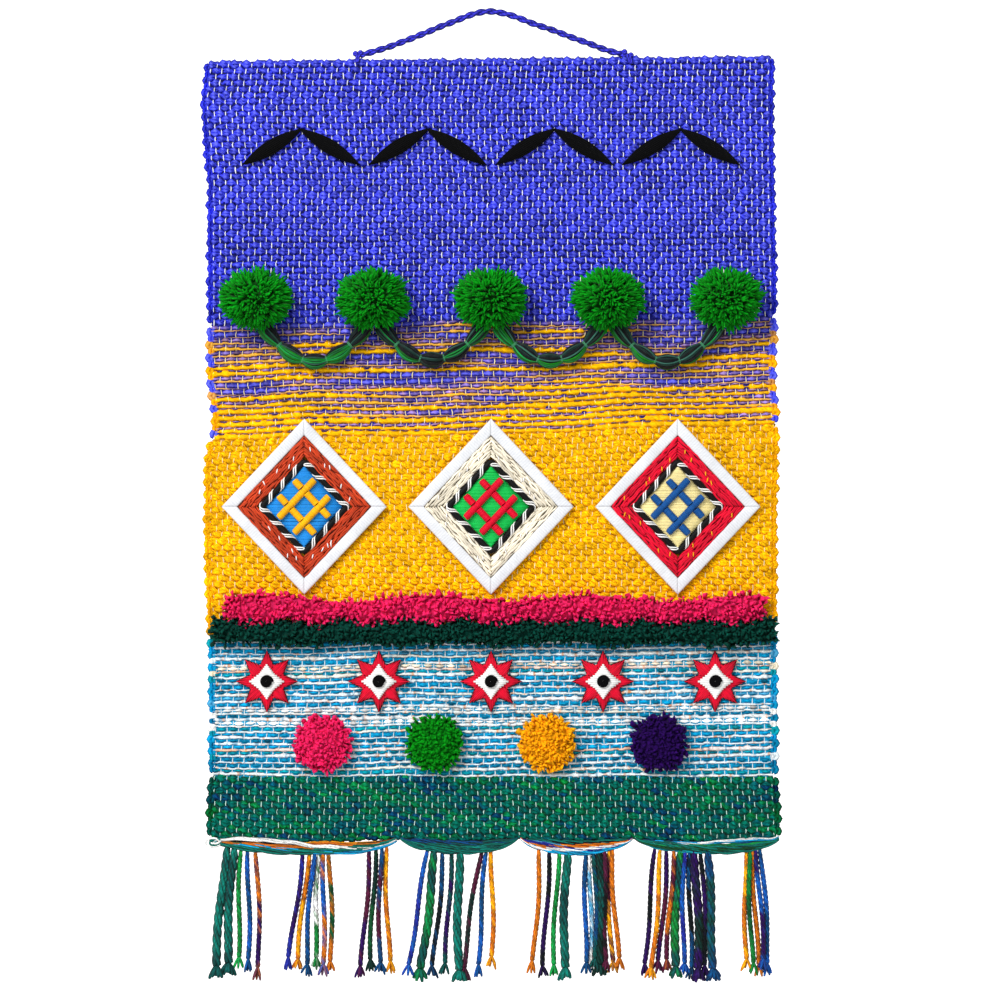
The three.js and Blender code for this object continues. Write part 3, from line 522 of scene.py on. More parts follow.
class Weft:
    """Every weft row's line across the cloth, in ring steps of a third of a warp."""

    def __init__(self):
        self.warp = np.arange(-1, RINGS_PER_WARP * (WARPS - 1) + 2) / RINGS_PER_WARP
        self.u = (self.warp + 0.5) / WARPS
        rows = np.arange(ROWS)
        near = np.clip(np.round(self.warp).astype(int), 0, WARPS - 1)
        throw = dice(5)
        self.bead_size, self.bead_lift, self.bead_tone, self.bead_depth = (
            throw.normal(0, spread, (ROWS, WARPS))[:, near] for spread in (0.08, 0.3, 0.1, 0.2)
        )
        self.tone = self.bead_tone + throw.normal(0, 0.04, ROWS)[:, None]
        self.twist = throw.uniform(0, TAU, ROWS)[:, None]
        self.twist = self.twist + math.pi / 2 * (self.warp[None] - rows[:, None]) + 2.0 * self.bead_depth
        u, v = np.meshgrid(self.u, (rows + 0.5) / ROWS)
        self.wave = np.cos(math.pi * (self.warp[None] - rows[:, None]))
        self.z = cloth_height(u, v)
        self.x = cloth_across(u, self.z) + column_sway(u, v)
        self.y = cloth_depth(u, v)

    def lines(self, rows, sway, lift=0.0, forward=0.0):
        """The lines of some rows, lifted and brought forward."""
        wave = self.wave[rows]
        y = self.y[rows] - wave * sway - forward - self.bead_depth[rows] * np.sign(wave)
        return xyz(self.x[rows], y, self.z[rows] + lift + self.bead_lift[rows] * 0.8)

    def sizes(self, rows, narrow):
        """The yarn's girth: full at a bead's middle, and narrower where it dives."""
        return (1 + self.bead_size[rows]) * (1 - narrow + narrow * np.abs(self.wave[rows]))

    def shaded(self, rows, tint, tone, dip):
        """Tints with their rows' tone, with painted shade where the yarn dives."""
        dive = 1 - np.abs(self.wave[rows])
        dive = dive.reshape(dive.shape + (1,) * (tint.ndim - 3))
        return deepened(tint * (1 + tone).reshape(dive.shape + (1,)), dip * dive)


def turns(yarns, lines, tints, wide, deep, first_row, reach=1.5, shadow=0.5):
    """The half turns at the selvedges. The yarn turns back on the left and on the right by
    turns, and between two turns it lies close to the next row, in the turns' shade."""
    angle = np.linspace(0.0, math.pi, 5)
    bend = angle[:, None]
    swell = 1 + 0.15 * np.sin(angle)
    throw = dice(3000 + first_row)
    for side, end in ((-1, 0), (1, -1)):
        outwards = np.array([side, 0, 0])
        for first in (0, 1):
            above = np.arange(first, len(lines) - 1, 2)
            is_turn = ((first_row + first) % 2 == 0) == (side < 0)
            far = reach * (1 if is_turn else 0.45) * throw.uniform(0.5, 1.4, (len(above), 1, 1))
            shade = 0.25 * np.cos(angle) ** 2 if is_turn else np.full(5, 0.25)
            a, b = lines[above, end][:, None], lines[above + 1, end][:, None]
            path = (a + b) / 2 + (a - b) / 2 * np.cos(bend) + far * outwards * np.sin(bend)
            share = 0.9 if is_turn else 0.7
            mid_wide = (wide[above, end] + wide[above + 1, end])[:, None] / 2 * swell * share
            mid_deep = (deep[above, end] + deep[above + 1, end])[:, None] / 2 * swell
            tint = deepened(tints[above, end][:, None] * np.ones((5, 1)), shade)
            for ply in (-1, 1):
                spread = ply * 0.5 * mid_wide[..., None] * outwards * (0.35 + 0.65 * np.sin(bend))
                tone = 1 + 0.08 * ply
                yarns.tubes(path + spread, tint * tone, mid_wide * 0.58, mid_deep * 1.1, shadow=shadow)


def single_band(weft, band, colour_of):
    """Rows of one thick yarn of two plies, wound round each other."""
    shape = BANDS[band]
    shade = shape["shade"]
    rows = slice(*shape["rows"])
    lines = weft.lines(rows, shape["sway"])
    wide = shape["wide"] * weft.sizes(rows, shape["narrow"])
    deep = shape["deep"] * (1 + weft.bead_size[rows])
    tints = weft.shaded(rows, colour_of(weft, rows), weft.tone[rows], shade)
    yarns = Yarns()
    for ply in (0, 1):
        angle = weft.twist[rows] + math.pi * ply
        out = -WEFT_PLIES["apart"] * deep * np.sin(angle)
        up = WEFT_PLIES["apart"] * wide * np.cos(angle)
        girth, depth = WEFT_PLIES["wide"] * wide, WEFT_PLIES["deep"] * deep
        yarns.tubes(lines + xyz(0, out, up), tints[:, :, ply], girth, depth, sides=3, shadow=shade)
    turns(yarns, lines, tints[:, :, 0], wide, deep, rows.start, shadow=shade)
    return yarns.piece(f"Weft_{band}", WOOL, "cloth")


def double_band(weft, band, shares, dash_colour, line_colour, edge_colour):
    """Rows of a dashed yarn above a second one that lies along the face in small lumps."""
    shape = BANDS[band]
    rows = slice(*shape["rows"])
    half = ROW_PITCH / 2
    tone = weft.tone[rows]
    yarns = Yarns()
    dashes = weft.lines(rows, shape["sway"], lift=half * (1 - shares))
    dash_tints = weft.shaded(rows, dash_colour, 2.0 * tone, shape["shade"])
    dash_wide = half * 1.12 * shares * weft.sizes(rows, 0.2)
    yarns.tubes(dashes, dash_tints, dash_wide, 0.8 + 0.8 * shares, sides=3, shadow=shape["shade"])
    lines = weft.lines(rows, 0.5, lift=-half * shares, forward=0.9)
    line_tints = line_colour * (1 + 0.8 * tone)[..., None]
    lumps = 1 + 2.5 * weft.bead_size[rows] - 0.22 * weft.wave[rows]
    line_wide = half * shape["line"] * (1 - shares) * lumps
    yarns.tubes(lines, line_tints, line_wide, 0.7 + 0.8 * (1 - shares), sides=3, shadow=0.2)
    double_turns(yarns, weft, rows, shape, shares, edge_colour, line_tints)
    return yarns.piece(f"Weft_{band}", FINE_WOOL, "cloth")


def double_turns(yarns, weft, rows, shape, shares, dash_tints, line_tints):
    """The selvedge of rows of two yarns: the stronger one shows at each turn."""
    ends = [0, -1]
    lines = weft.lines(rows, shape["sway"])[:, ends]
    level, swing = shape["edge"]
    chance = level + swing * (np.arange(len(lines)) // 2 % 2)[:, None, None]
    tints = np.where(shares[:, ends, None] > chance, dash_tints[:, ends], line_tints[:, ends])
    flat = np.ones(lines.shape[:2])
    turns(yarns, lines, tints, shape["wide"] * flat, shape["deep"] * flat, rows.start)


def plain_colour(name):
    return lambda weft, rows: linear(name) * np.ones(weft.wave[rows].shape + (2, 3))


def hem_colour(weft, rows):
    """Teal that runs into green and blue along each row, in each ply by itself."""
    tints = linear("hem") * np.ones(weft.wave[rows].shape + (2, 3))
    for k in range(len(tints)):
        for ply in (0, 1):
            for colour, pace, seed, gain, level, limit in HEM_RUNS:
                share = np.clip(drift(weft.u * pace, seed + k + 40 * ply) * gain + level, 0, limit)
                tints[k, :, ply] = mixed(tints[k, :, ply], linear(colour), share)
    return tints


def mixed_rows(weft):
    """Shares and colours of the rows where violet turns into gold."""
    violet, tan = linear("violet"), linear("tan")
    wander = np.stack([drift(weft.u * 1.3, 40 + row) for row in range(*BANDS["mixed"]["rows"])])
    shares = np.clip(np.array(MIXED_SHARES)[:, None] - 0.1 + 0.4 * wander, 0.1, 0.97)
    brown = np.clip(dice(77).normal(0.3, 0.25, shares.shape), 0, 0.8)
    dull = mixed(violet * 0.8 + tan * 0.3, tan * 0.75, brown)
    dash = mixed(dull, violet, np.clip(shares * 2.6 - 1.6, 0, 1))
    line = mixed(linear("gold"), tan, np.clip(shares * 2.4 - 1.1, 0, 1))
    return shares, dash, line, violet * np.ones(dash.shape)


def water_rows(weft):
    """Shares and colours of the blue and white rows."""
    ones = np.ones((len(weft.u), 3))
    shares, dashes, lines = [], [], []
    for k, (dash, line, share) in enumerate(WATER_ROWS):
        turn = np.clip(0.5 + drift(weft.u * 1.5, 500 + k), 0, 1)
        other = "steel" if dash in ("blue", "teal") else dash
        throw = dice(600 + k)
        fleck = np.clip(8 * throw.random(len(weft.u)) - 7, 0, 0.9)
        blue_fleck = np.clip(8 * throw.random(len(weft.u)) - 7, 0, 0.7)
        shares.append(np.clip(share + 0.18 * drift(weft.u * 1.2, 700 + k), 0.2, 0.75))
        dashes.append(mixed(linear(dash) * ones, linear(other), 0.35 * turn))
        base = mixed(linear(line) * ones, linear("foam"), 0.3 + 0.5 * turn)
        lines.append(mixed(mixed(base, linear("peach"), fleck), linear("steel"), blue_fleck))
    return np.array(shares), np.array(dashes), np.array(lines), np.array(dashes)


def make_ground():
    """The middle of the weave, seen only between the yarns: each band's colour darkened as painted shade."""
    u = np.linspace(0.004, 0.996, 50)[None]
    v = np.linspace(0.003, 0.997, 90)[:, None]
    z = cloth_height(u, v)
    grid = xyz(cloth_across(u, z), cloth_depth(u, v), z)
    tint = np.zeros(grid.shape)
    for band in BANDS.values():
        first, last = band["rows"]
        colour, level = band["ground"]
        tint[(v[:, 0] * ROWS >= first) & (v[:, 0] * ROWS <= last)] = linear(colour) * level
    yarns = Yarns()
    yarns.patch(grid, tint)
    return yarns.piece("Woven_ground", GROUND, "cloth")


def make_warps():
    """White cotton threads that come forward at one row in two."""
    q, row = np.mgrid[:WARPS, :ROWS]
    u, v = (q + 0.5) / WARPS, (row + 0.5) / ROWS
    girth, forward = np.empty(ROWS), np.empty(ROWS)
    tint = np.empty((ROWS, 3))
    for band in BANDS.values():
        rows = slice(*band["rows"])
        girth[rows], forward[rows], glow, share = band["warp"]
        tint[rows] = mixed(linear("cotton"), linear(glow), share)
    throw = dice(9)
    z = cloth_height(u, v)
    x = cloth_across(u, z) + column_sway(u, v) + throw.normal(0, WARP_JITTER, u.shape)
    y = cloth_depth(u, v) + forward * np.cos(math.pi * (q - row))
    girth = girth * (1 + 0.15 * throw.normal(0, 1, u.shape))
    tone = throw.uniform(0.92, 1.05, u.shape)[..., None]
    yarns = Yarns()
    yarns.tubes(xyz(x, y, z), tint * tone, girth, sides=3)
    return yarns.piece("Cotton_warps", COTTON, "cloth")


def make_cloth():
    weft = Weft()
    return [
        single_band(weft, "violet", plain_colour("violet")),
        double_band(weft, "mixed", *mixed_rows(weft)),
        single_band(weft, "gold", plain_colour("gold")),
        double_band(weft, "water", *water_rows(weft)),
        single_band(weft, "hem", hem_colour),
        make_warps(),
    ]


# The lower edge: bundles of loose yarn from pinch to pinch, and the fringe.
BUNDLE = {"pinch": 2.4, "middle": 5.0, "deep": 3.2, "droop": 0.05, "rings": 40, "tuck": 3.0,
          "tuck_reach": 5.0, "back": 1.6, "strands": 3, "strand_apart": 0.66, "strand": 0.57, "winds": 2.2}
COIL = {"middle": (-208.5, -620.0), "across": 5.5, "high": 3.4, "yarn": 0.8,
        "colours": ["white", "hem", "white"]}

# Each swag's yarns: the colour, how far forward, the half width, and the height over the bundle's
# middle line at six even stations from left to right.
BUNDLES = [
    [
        ("deep_teal", 0.0, 2.0, [0.0, 0.6, 0.4, 1.2, 1.0, 0.3]),
        ("hem", 2.2, 2.0, [-0.5, -2.0, -2.8, -2.4, -1.2, 0.5]),
        ("teal", 1.2, 1.3, [0.5, -0.4, -1.2, -1.0, -1.0, -0.5]),
        ("deep_green", 1.5, 1.3, [0.0, 1.2, -0.6, -0.8, 0.6, 0.2]),
        ("blue", 1.6, 1.7, [0.0, 0.2, -0.6, -3.2, -4.0, -1.8]),
        ("orange", 1.7, 0.9, [0.5, 1.8, 1.6, -0.2, -1.0, -0.6]),
        ("yellow", 0.6, 1.0, [0.5, 3.0, 1.5, 4.4, 2.0, 0.8]),
        ("ink", 0.8, 1.2, [0.5, 3.6, 3.0, 2.0, 1.4, 0.8]),
        ("orange", 1.8, 1.3, [0.0, 0.8, 0.6, 3.0, 0.6, 0.8]),
        ("white", 2.4, 1.4, [0.8, 5.4, 5.0, 1.2, -1.6, -0.6]),
    ],
    [
        ("deep_teal", 0.0, 2.2, [0.0, 0.5, 0.5, 0.5, 0.5, 0.0]),
        ("hem_blue", 1.0, 1.8, [0.3, 3.4, 3.8, 3.2, 1.8, 0.3]),
        ("deep_teal", 1.6, 1.5, [0.2, 1.0, 2.2, 2.0, 3.2, 0.6]),
        ("hem", 1.8, 1.5, [0.0, 0.4, 0.8, -0.4, 0.6, 0.0]),
        ("teal", 1.2, 1.2, [0.1, -0.6, -1.2, 0.6, 1.8, 0.0]),
        ("hem", 2.2, 1.6, [-0.6, -2.2, -2.2, -3.4, -2.6, -0.6]),
        ("deep_teal", 2.0, 1.6, [-0.4, -1.0, -3.6, -2.0, -1.0, -0.4]),
    ],
    [
        ("bottle", 0.0, 2.0, [0.0, 1.5, 1.5, 1.5, 1.0, 0.2]),
        ("ink", 1.2, 1.6, [0.4, 1.6, 3.0, 3.0, 2.4, 0.6]),
        ("hem", 0.8, 1.6, [0.2, 3.6, 4.2, 3.6, 3.4, 0.4]),
        ("pale_blue", 2.0, 0.9, [0.2, 2.4, 1.6, 0.0, -0.4, 0.0]),
        ("orange", 1.9, 1.8, [0.0, -0.8, 0.6, 1.4, 0.4, 0.0]),
        ("indigo", 2.4, 1.2, [0.0, 1.8, -0.6, -1.6, -0.8, 0.0]),
        ("blue", 1.6, 1.9, [-0.4, -2.2, -3.8, -3.8, -2.2, -0.4]),
        ("white", 2.5, 1.3, [-0.4, -2.0, -1.6, -0.8, -0.4, 0.0]),
    ],
    [
        ("deep_teal", 0.0, 2.3, [0.0, 0.0, 0.5, 0.5, 0.5, 0.2]),
        ("hem", 1.4, 1.9, [0.0, 0.4, -0.8, -2.8, -2.6, -0.6]),
        ("teal", 1.0, 1.3, [-0.2, -2.2, -3.0, -1.0, -1.0, -0.2]),
        ("hem_blue", 0.8, 1.6, [0.4, 2.6, 3.2, 1.6, 2.0, 0.4]),
        ("hem", 2.2, 1.7, [0.3, 2.0, 1.0, 0.4, 0.0, 0.2]),
        ("hem_green", 2.0, 1.1, [0.2, 0.2, 2.2, 2.0, 1.6, 0.2]),
        ("bright_green", 2.3, 0.7, [0.2, 0.6, -0.6, 1.0, 1.4, 0.2]),
        ("deep_green", 2.4, 1.2, [0.0, -1.0, 0.0, -1.0, -1.0, 0.0]),
        ("blue", 1.6, 1.1, [0.4, 2.8, 3.6, 4.6, 4.6, 1.2]),
        ("white", 2.0, 0.8, [0.4, 2.0, 3.4, 5.4, 5.6, 1.8]),
    ],
]

# The fringe's groups: the middle and spread of their roots, the middle and spread of their tips,
# which strands are thick, and each strand's two colours.
FRINGE = [
    (-187.5, 23, -190.5, 33, (0, 1), [
        ("hem", "deep_teal"), ("deep_teal", "hem"), ("bright_green", "leaf_green"), ("royal", "hem_blue"),
        ("purple", "orange")]),
    (-131, 20, -136, 32, (), [
        ("purple", "indigo"), ("yellow", "orange"), ("royal", "hem_blue"), ("leaf_green", "white"),
        ("royal", "orange"), ("orange", "deep_green")]),
    (-85, 12, -87, 21, (), [
        ("wine", "purple"), ("bottle", "deep_green"), ("wine", "hem_blue"), ("orange", "yellow")]),
    (-35.5, 22, -44, 40, (1, 4), [
        ("royal", "indigo"), ("deep_teal", "hem_green"), ("ink", "hem_blue"), ("deep_teal", "purple"),
        ("hem", "hem")]),
    (-3, 8, -11, 23, (), [("wine", "bottle"), ("hem_blue", "royal"), ("orange", "yellow")]),
    (47, 20, 43, 23, (3,), [
        ("orange", "orange"), ("purple", "ink"), ("bright_green", "leaf_green"), ("hem", "deep_teal")]),
    (81, 19, 83, 25, (3,), [
        ("royal", "hem_blue"), ("pale_blue", "white"), ("hem_blue", "deep_teal"), ("deep_teal", "bottle"),
        ("ink", "wine"), ("wine", "yellow"), ("orange", "orange")]),
    (143, 38, 141, 54, (4, 7, 9), [
        ("purple", "ink"), ("yellow", "orange"), ("wine", "purple"), ("orange", "wine"),
        ("leaf_green", "deep_teal"), ("royal", "indigo"), ("ink", "hem_blue"), ("bottle", "purple"),
        ("purple", "ink"), ("deep_teal", "hem_blue")]),
    (196.5, 12, 200.5, 17, (), [
        ("yellow", "orange"), ("leaf_green", "deep_green"), ("orange", "orange"), ("royal", "purple"),
        ("royal", "hem_blue")]),
]
STRAND = {"tip": -719.5, "spread": 5, "thin": 1.5, "thick": 3.0, "sway": 1.2, "middle": 3.1, "stagger": 1.25,
          "tail": 9, "fuzz": 0.6}
# How a thin and a thick strand are plied: the plies' share of its radius, a turn's length, and
# the rings along it.
PLYING = {False: (0.58, 12.0, 48), True: (0.56, 24.0, 50)}
PLY_TONES = [1.0, 0.72, 1.15]
TAIL_GIRTHS = np.array([0.9, 1, 1.1, 1.15, 1.1, 0.7])


def bundle_line(swag, t):
    left, right, sag = swag
    drop = 4 * t * (1 - t) * sag
    radius = BUNDLE["pinch"] + (BUNDLE["middle"] - BUNDLE["pinch"]) * np.sin(math.pi * t) ** 0.7
    return CLOTH["bottom"] - drop * SAG_SHARE - 0.9 * radius - 0.3 - BUNDLE["droop"] * drop


def fringe_strands():
    """Every strand's number, root, tip and weight, and its two colours."""
    strands = []
    for root, root_spread, tip, tip_spread, thick, colours in FRINGE:
        for k, pair in enumerate(colours):
            share = k / (len(colours) - 1) - 0.5
            root_x, tip_x = root + root_spread * share, tip + tip_spread * share
            strands.append((len(strands) + 1, root_x, tip_x, k in thick, pair))
    return strands


def make_strand(yarns, strand, root_x, root_z):
    """One strand: plies twisted together, with a frayed end."""
    order, _, tip_x, thick, colours = strand
    ply_share, lay, rings = PLYING[thick]
    plies = len(PLY_TONES)
    radius = STRAND["thick" if thick else "thin"] + STRAND["fuzz"]
    tip_z = STRAND["tip"] + STRAND["spread"] * uneven(order + 7)
    stagger = 0 if thick else STRAND["stagger"] * (1 if order % 2 else -1)
    t = np.linspace(0.025, 1 - STRAND["tail"] / (root_z - tip_z), rings)
    gather = np.exp(-(t - t[0]) * (root_z - tip_z) / 4)
    line = xyz(
        root_x + (tip_x - root_x) * t + STRAND["sway"] * np.sin(t * 6 + order),
        -STRAND["middle"] + stagger * (1 - gather) + 0.4 * np.sin(5 * t + order * 2.1),
        root_z + (tip_z - root_z) * t,
    )
    ply = radius * ply_share
    lines = twisted(line, radius - ply, lay, plies, turn=0.13 * order)
    lines = line + (lines - line) * (1 - 0.5 * gather)[:, None]
    first, second = linear(colours[0]), linear(colours[1])
    runs = 0.45 + 1.3 * drift(t * 1.2, 800 + order)
    tints = np.stack([
        mixed(first, second, np.clip(runs + 0.3 * (k - 1), 0, 1)) * tone for k, tone in enumerate(PLY_TONES)
    ])
    yarns.tubes(lines, tints, ply * (1 - 0.4 * gather), sides=4, shadow=0.45)
    make_tail(yarns, line[-1], ply, tints[:, -1], order, radius)


def make_tail(yarns, end, ply, tints, order, radius):
    """The frayed end of a strand: a few short yarns that splay."""
    throw = dice(900 + order)
    tails = 8 if radius > 2.5 else 5
    share = np.linspace(-0.15, 1, len(TAIL_GIRTHS))
    angle = (TAU * (np.arange(tails) + throw.random(tails) * 0.7) / tails)[:, None]
    reach = (radius * 0.9 + throw.uniform(0.6, 3.2, tails))[:, None]
    length = (STRAND["tail"] * throw.uniform(0.75, 1.15, tails))[:, None]
    bow = np.maximum(share, 0) ** 0.8 * reach
    path = xyz(end[0] + np.cos(angle) * bow, end[1] + np.sin(angle) * bow * 0.7, end[2] - length * share)
    tint = tints[np.arange(tails) % len(tints)][:, None] * throw.uniform(0.85, 1.15, (tails, 6, 1))
    yarns.tubes(path, tint, max(0.7 * ply, 0.95) * TAIL_GIRTHS, shadow=0.3)


def eased(t, stations):
    """A smooth curve through evenly spaced values."""
    place = np.clip(t, 0, 1) * (len(stations) - 1)
    before = np.minimum(place.astype(int), len(stations) - 2)
    share = place - before
    share = share * share * (3 - 2 * share)
    values = np.array(stations)
    return values[before] * (1 - share) + values[before + 1] * share


def make_bundle(yarns, swag, bundle, seed):
    """Loose yarns that cross each other along their swag and gather at its pinches."""
    left, right, _ = swag
    t = np.linspace(0.012, 0.988, BUNDLE["rings"])
    near_end = np.minimum(t, 1 - t)
    gather = np.exp(-near_end * (right - left) / BUNDLE["tuck_reach"])
    open_share = np.clip(4.5 * near_end, 0, 1) ** 0.6
    base = bundle_line(swag, t) + BUNDLE["tuck"] * gather
    lines, tints, sizes = [], [], []
    for k, (colour, forward, girth, heights) in enumerate(bundle):
        middle = eased(t, heights) + 0.25 * drift(t * 2.5, seed + k)
        for s in range(BUNDLE["strands"]):
            angle = TAU * (s / BUNDLE["strands"] + BUNDLE["winds"] * t + 0.37 * k)
            height = middle + BUNDLE["strand_apart"] * girth * open_share * np.cos(angle)
            out = (forward - 1.0 + 0.4 * girth * np.sin(angle)) * (0.35 + 0.65 * open_share)
            depth = -BUNDLE["deep"] - 0.4 - out + BUNDLE["back"] * gather
            lines.append(xyz(left + (right - left) * t, depth, base + height))
            tone = (0.85 + 0.15 * s) * (1 + 0.15 * drift(t * 2, seed + 20 + 3 * k + s))
            tints.append(linear(colour) * tone[:, None])
            swell = (0.6 + 0.4 * open_share) * (1 + 0.1 * drift(t * 4, seed + 40 + 3 * k + s))
            sizes.append(girth * BUNDLE["strand"] * swell)
    sizes = np.stack(sizes)
    yarns.tubes(np.stack(lines), np.stack(tints), sizes, sizes * 0.95, sides=4, shadow=0.9)


def make_coil(yarns):
    """The loose loops at the left end of the first bundle."""
    turn = np.linspace(0, TAU, 25)[:-1]
    for k, colour in enumerate(COIL["colours"]):
        grow = 1 - 0.26 * k
        loop = xyz(
            COIL["middle"][0] + COIL["across"] * grow * np.cos(turn) + 1.5 * k,
            -BUNDLE["deep"] - 1.6 - 0.9 * np.sin(turn + k),
            COIL["middle"][1] + COIL["high"] * grow * np.sin(turn + 0.3 * k) + 0.4 * k,
        )
        yarns.tubes(loop, linear(colour), COIL["yarn"], closed=True, shadow=0.4)


def make_lower_edge():
    pieces = []
    for index, swag in enumerate(SWAGS):
        yarns = Yarns()
        left, right, _ = swag
        make_bundle(yarns, swag, BUNDLES[index], 60 + 100 * index)
        if index == 0:
            make_coil(yarns)
        for strand in fringe_strands():
            root, thick = strand[1], strand[3]
            if left < root < right:
                reach = STRAND["thick" if thick else "thin"] + 1
                root = min(max(root, left + reach), right - reach)
                make_strand(yarns, strand, root, bundle_line(swag, (root - left) / (right - left)))
        number = index + 1
        pieces.append(yarns.piece(f"Hem_bundle_{number}", FRINGE_YARN, f"hem_fringe_{number}"))
    return pieces


# Tufts of cut yarn, for the pile and the pompoms: where their stations are, their girth there,
# and their tone there, which is painted shade towards the root and painted highlight at the tip. A pompom's
# tufts are thinner, with three stations each.
PILE_TUFT = np.array([[0, 0.55, 0.88, 1], [0.5, 1.0, 1.0, 0.4], [0.62, 0.9, 1.02, 1.1]])
POMPOM_TUFT = np.array([[0, 0.6, 1], [0.7, 1.0, 0.35], [0.2, 0.85, 1.35]])


def add_tufts(yarns, roots, tips, girth, colour, seed, tuft=PILE_TUFT, lean_by=1.3):
    """Cut ends of yarn from roots to tips: narrow flattened leaves that lean at random."""
    stations, girths, tones = tuft
    throw = dice(seed)
    count = len(roots)
    side = unit(throw.normal(0, 1, (count, 3)))
    lean = np.clip(throw.normal(0, 1, (count, 3)), -1.6, 1.6)
    tips = tips + lean_by * lean * [1, 0.35, 1]
    shares = stations[None, :, None]
    path = roots[:, None] + (tips - roots)[:, None] * shares + side[:, None] * shares**2
    size = girth * throw.uniform(0.75, 1.3, count)[:, None] * girths
    # Each tuft's tone differs at random, times its stations' painted shade and highlight.
    tone = throw.uniform(0.78, 1.2, count)[:, None] * tones
    out = unit(throw.normal(0, 1, (count, 1, 3)))
    yarns.tubes(path, linear(colour) * tone[..., None], size, size * 0.5, out=out, sides=3, shadow=0.2)


POMPOM = {"across": 27, "high": 22.5, "deep": 34, "middle": 13, "row": -213, "pitch": 88, "count": 5,
          "tufts": 1450, "clusters": 130}


def pompom_middle(k):
    return (k - (POMPOM["count"] - 1) / 2) * POMPOM["pitch"]


def spread_ways(count):
    """Directions spread evenly over a ball."""
    step = np.arange(count) + 0.5
    y = 1 - 2 * step / count
    flat = np.sqrt(1 - y * y)
    return xyz(flat * np.cos(GOLDEN * step), -y, flat * np.sin(GOLDEN * step))


def make_pompom(k):
    """A pompom of yarn ends that fan out in clusters from a core darkened as painted shade."""
    middle = np.array([pompom_middle(k), SEWN - POMPOM["middle"], POMPOM["row"]])
    reach = np.array([POMPOM["across"], POMPOM["deep"] - POMPOM["middle"], POMPOM["high"]])
    throw = dice(30 + k)
    way = spread_ways(POMPOM["tufts"])
    way = unit(way + throw.normal(0, 0.06, way.shape))
    way = way[way[:, 1] < 0.3]
    centres = unit(spread_ways(POMPOM["clusters"]) + throw.normal(0, 0.08, (POMPOM["clusters"], 3)))
    home = centres[np.argmax(way @ centres.T, 1)]
    lump = 1 + 0.05 * np.sin(7 * way[:, 0] + k) * np.cos(6 * way[:, 2] + 2 * k)
    lump = lump + throw.normal(0, 0.04, len(way))
    lump -= 0.35 * np.linalg.norm(way - home, axis=1)
    tips = middle + way * reach * (1.02 * lump)[:, None]
    roots = middle + home * reach * 0.62
    yarns = Yarns()
    add_tufts(yarns, roots, tips, 1.6, "pine", 130 + k, tuft=POMPOM_TUFT, lean_by=1.6)
    down = np.linspace(0.02, math.pi - 0.02, 14)[:, None]
    turn = np.linspace(0, TAU, 21)[None]
    core = middle + xyz(np.sin(down) * np.cos(turn), np.cos(down), np.sin(down) * np.sin(turn)) * reach * 0.72
    core[..., 1] = np.minimum(core[..., 1], SEWN)
    # The core: the pompom's green darkened as painted shade between the tufts.
    yarns.patch(core, linear("pine") * 0.2)
    yarns.piece(f"Pompom_{k + 1}", TUFT_WOOL, f"pompom_{k + 1}")


# The hanks: bundles of yarn looped from pompom to pompom, bound with thread.
HANK = {"radius": 6.2, "waist": 2.5, "bindings": 5, "start": 12, "sag": 34, "rings": 46,
        "yarns": 22, "yarn": 0.8}
# The yarns in a hank's lower half and in its upper half.
HANK_GREENS = ["bright_green", "leaf_green", "pine"]
HANK_DARKS = ["ink", "bottle", "sage", "ink"]


def hank_line(k, t):
    left, right = pompom_middle(k), pompom_middle(k + 1)
    sag = HANK["sag"] + 3 * uneven(k + 3)
    z = POMPOM["row"] - HANK["start"] - 4 * t * (1 - t) * sag
    return xyz(left + (right - left) * t, SEWN - HANK["radius"], z)


def make_hank(k):
    """A looped bundle of yarn, drawn in by each binding and swelling between them."""
    bindings, yarn, count = HANK["bindings"], HANK["yarn"], HANK["yarns"]
    t = np.linspace(0.06, 0.94, HANK["rings"])
    line = hank_line(k, t)
    swell = np.abs(np.sin(math.pi * bindings * t)) ** 0.8
    reach = HANK["waist"] + (HANK["radius"] - HANK["waist"]) * swell - yarn
    throw = dice(1100 + k)
    segment = np.minimum((t * bindings).astype(int), bindings - 1)
    greenness = throw.uniform(0.2, 1.2, (3, bindings))
    lines, tints = [], []
    for j in range(count):
        angle = TAU * j / count + 0.5 * np.sin(4 * t + k) + throw.normal(0, 0.08)
        lines.append(wound(line, reach, angle))
        is_green = greenness[(j // 3) % 3] < 0.5 + 0.5 * math.cos(TAU * j / count)
        green, dark = HANK_GREENS[j % len(HANK_GREENS)], HANK_DARKS[j % len(HANK_DARKS)]
        tint = np.where(is_green[segment][:, None], linear(green), linear(dark))
        tints.append(tint * (throw.uniform(0.4, 1.3) + 0.2 * drift(t * 3, 1200 + 30 * k + j))[:, None])
    yarns = Yarns()
    yarns.tubes(np.stack(lines), np.stack(tints), yarn, yarn * 0.9, sides=4, shadow=0.6)
    # A dark core inside the hank: ink darkened as painted shade between the yarns.
    yarns.tubes(line, linear("ink") * 0.5, reach * 0.9, sides=8)
    for b in range(1, bindings):
        points = hank_line(k, b / bindings + np.linspace(-0.006, 0.006, 24))
        wrap = wound(points, HANK["waist"] + 0.35, np.linspace(0, 1.6 * TAU, 24))
        yarns.tubes(wrap, linear("binding"), 0.36, out=(1, 0.2, 0.1), sides=4)
    yarns.piece(f"Hank_{k + 1}", STITCH, f"hank_{k + 1}")


# The felt leaves: raised lenses of long black stitches.
LEAF = {"length": 52, "width": 10.5, "thick": 2.0, "foot": -112, "rise": 27, "pairs": 4,
        "pitch": 95, "yarns": 8}


def flat_to_wall(line, y):
    """Points of the cloth's plane set at a depth."""
    line = np.asarray(line, float)
    return xyz(line[..., 0], y, line[..., 1])


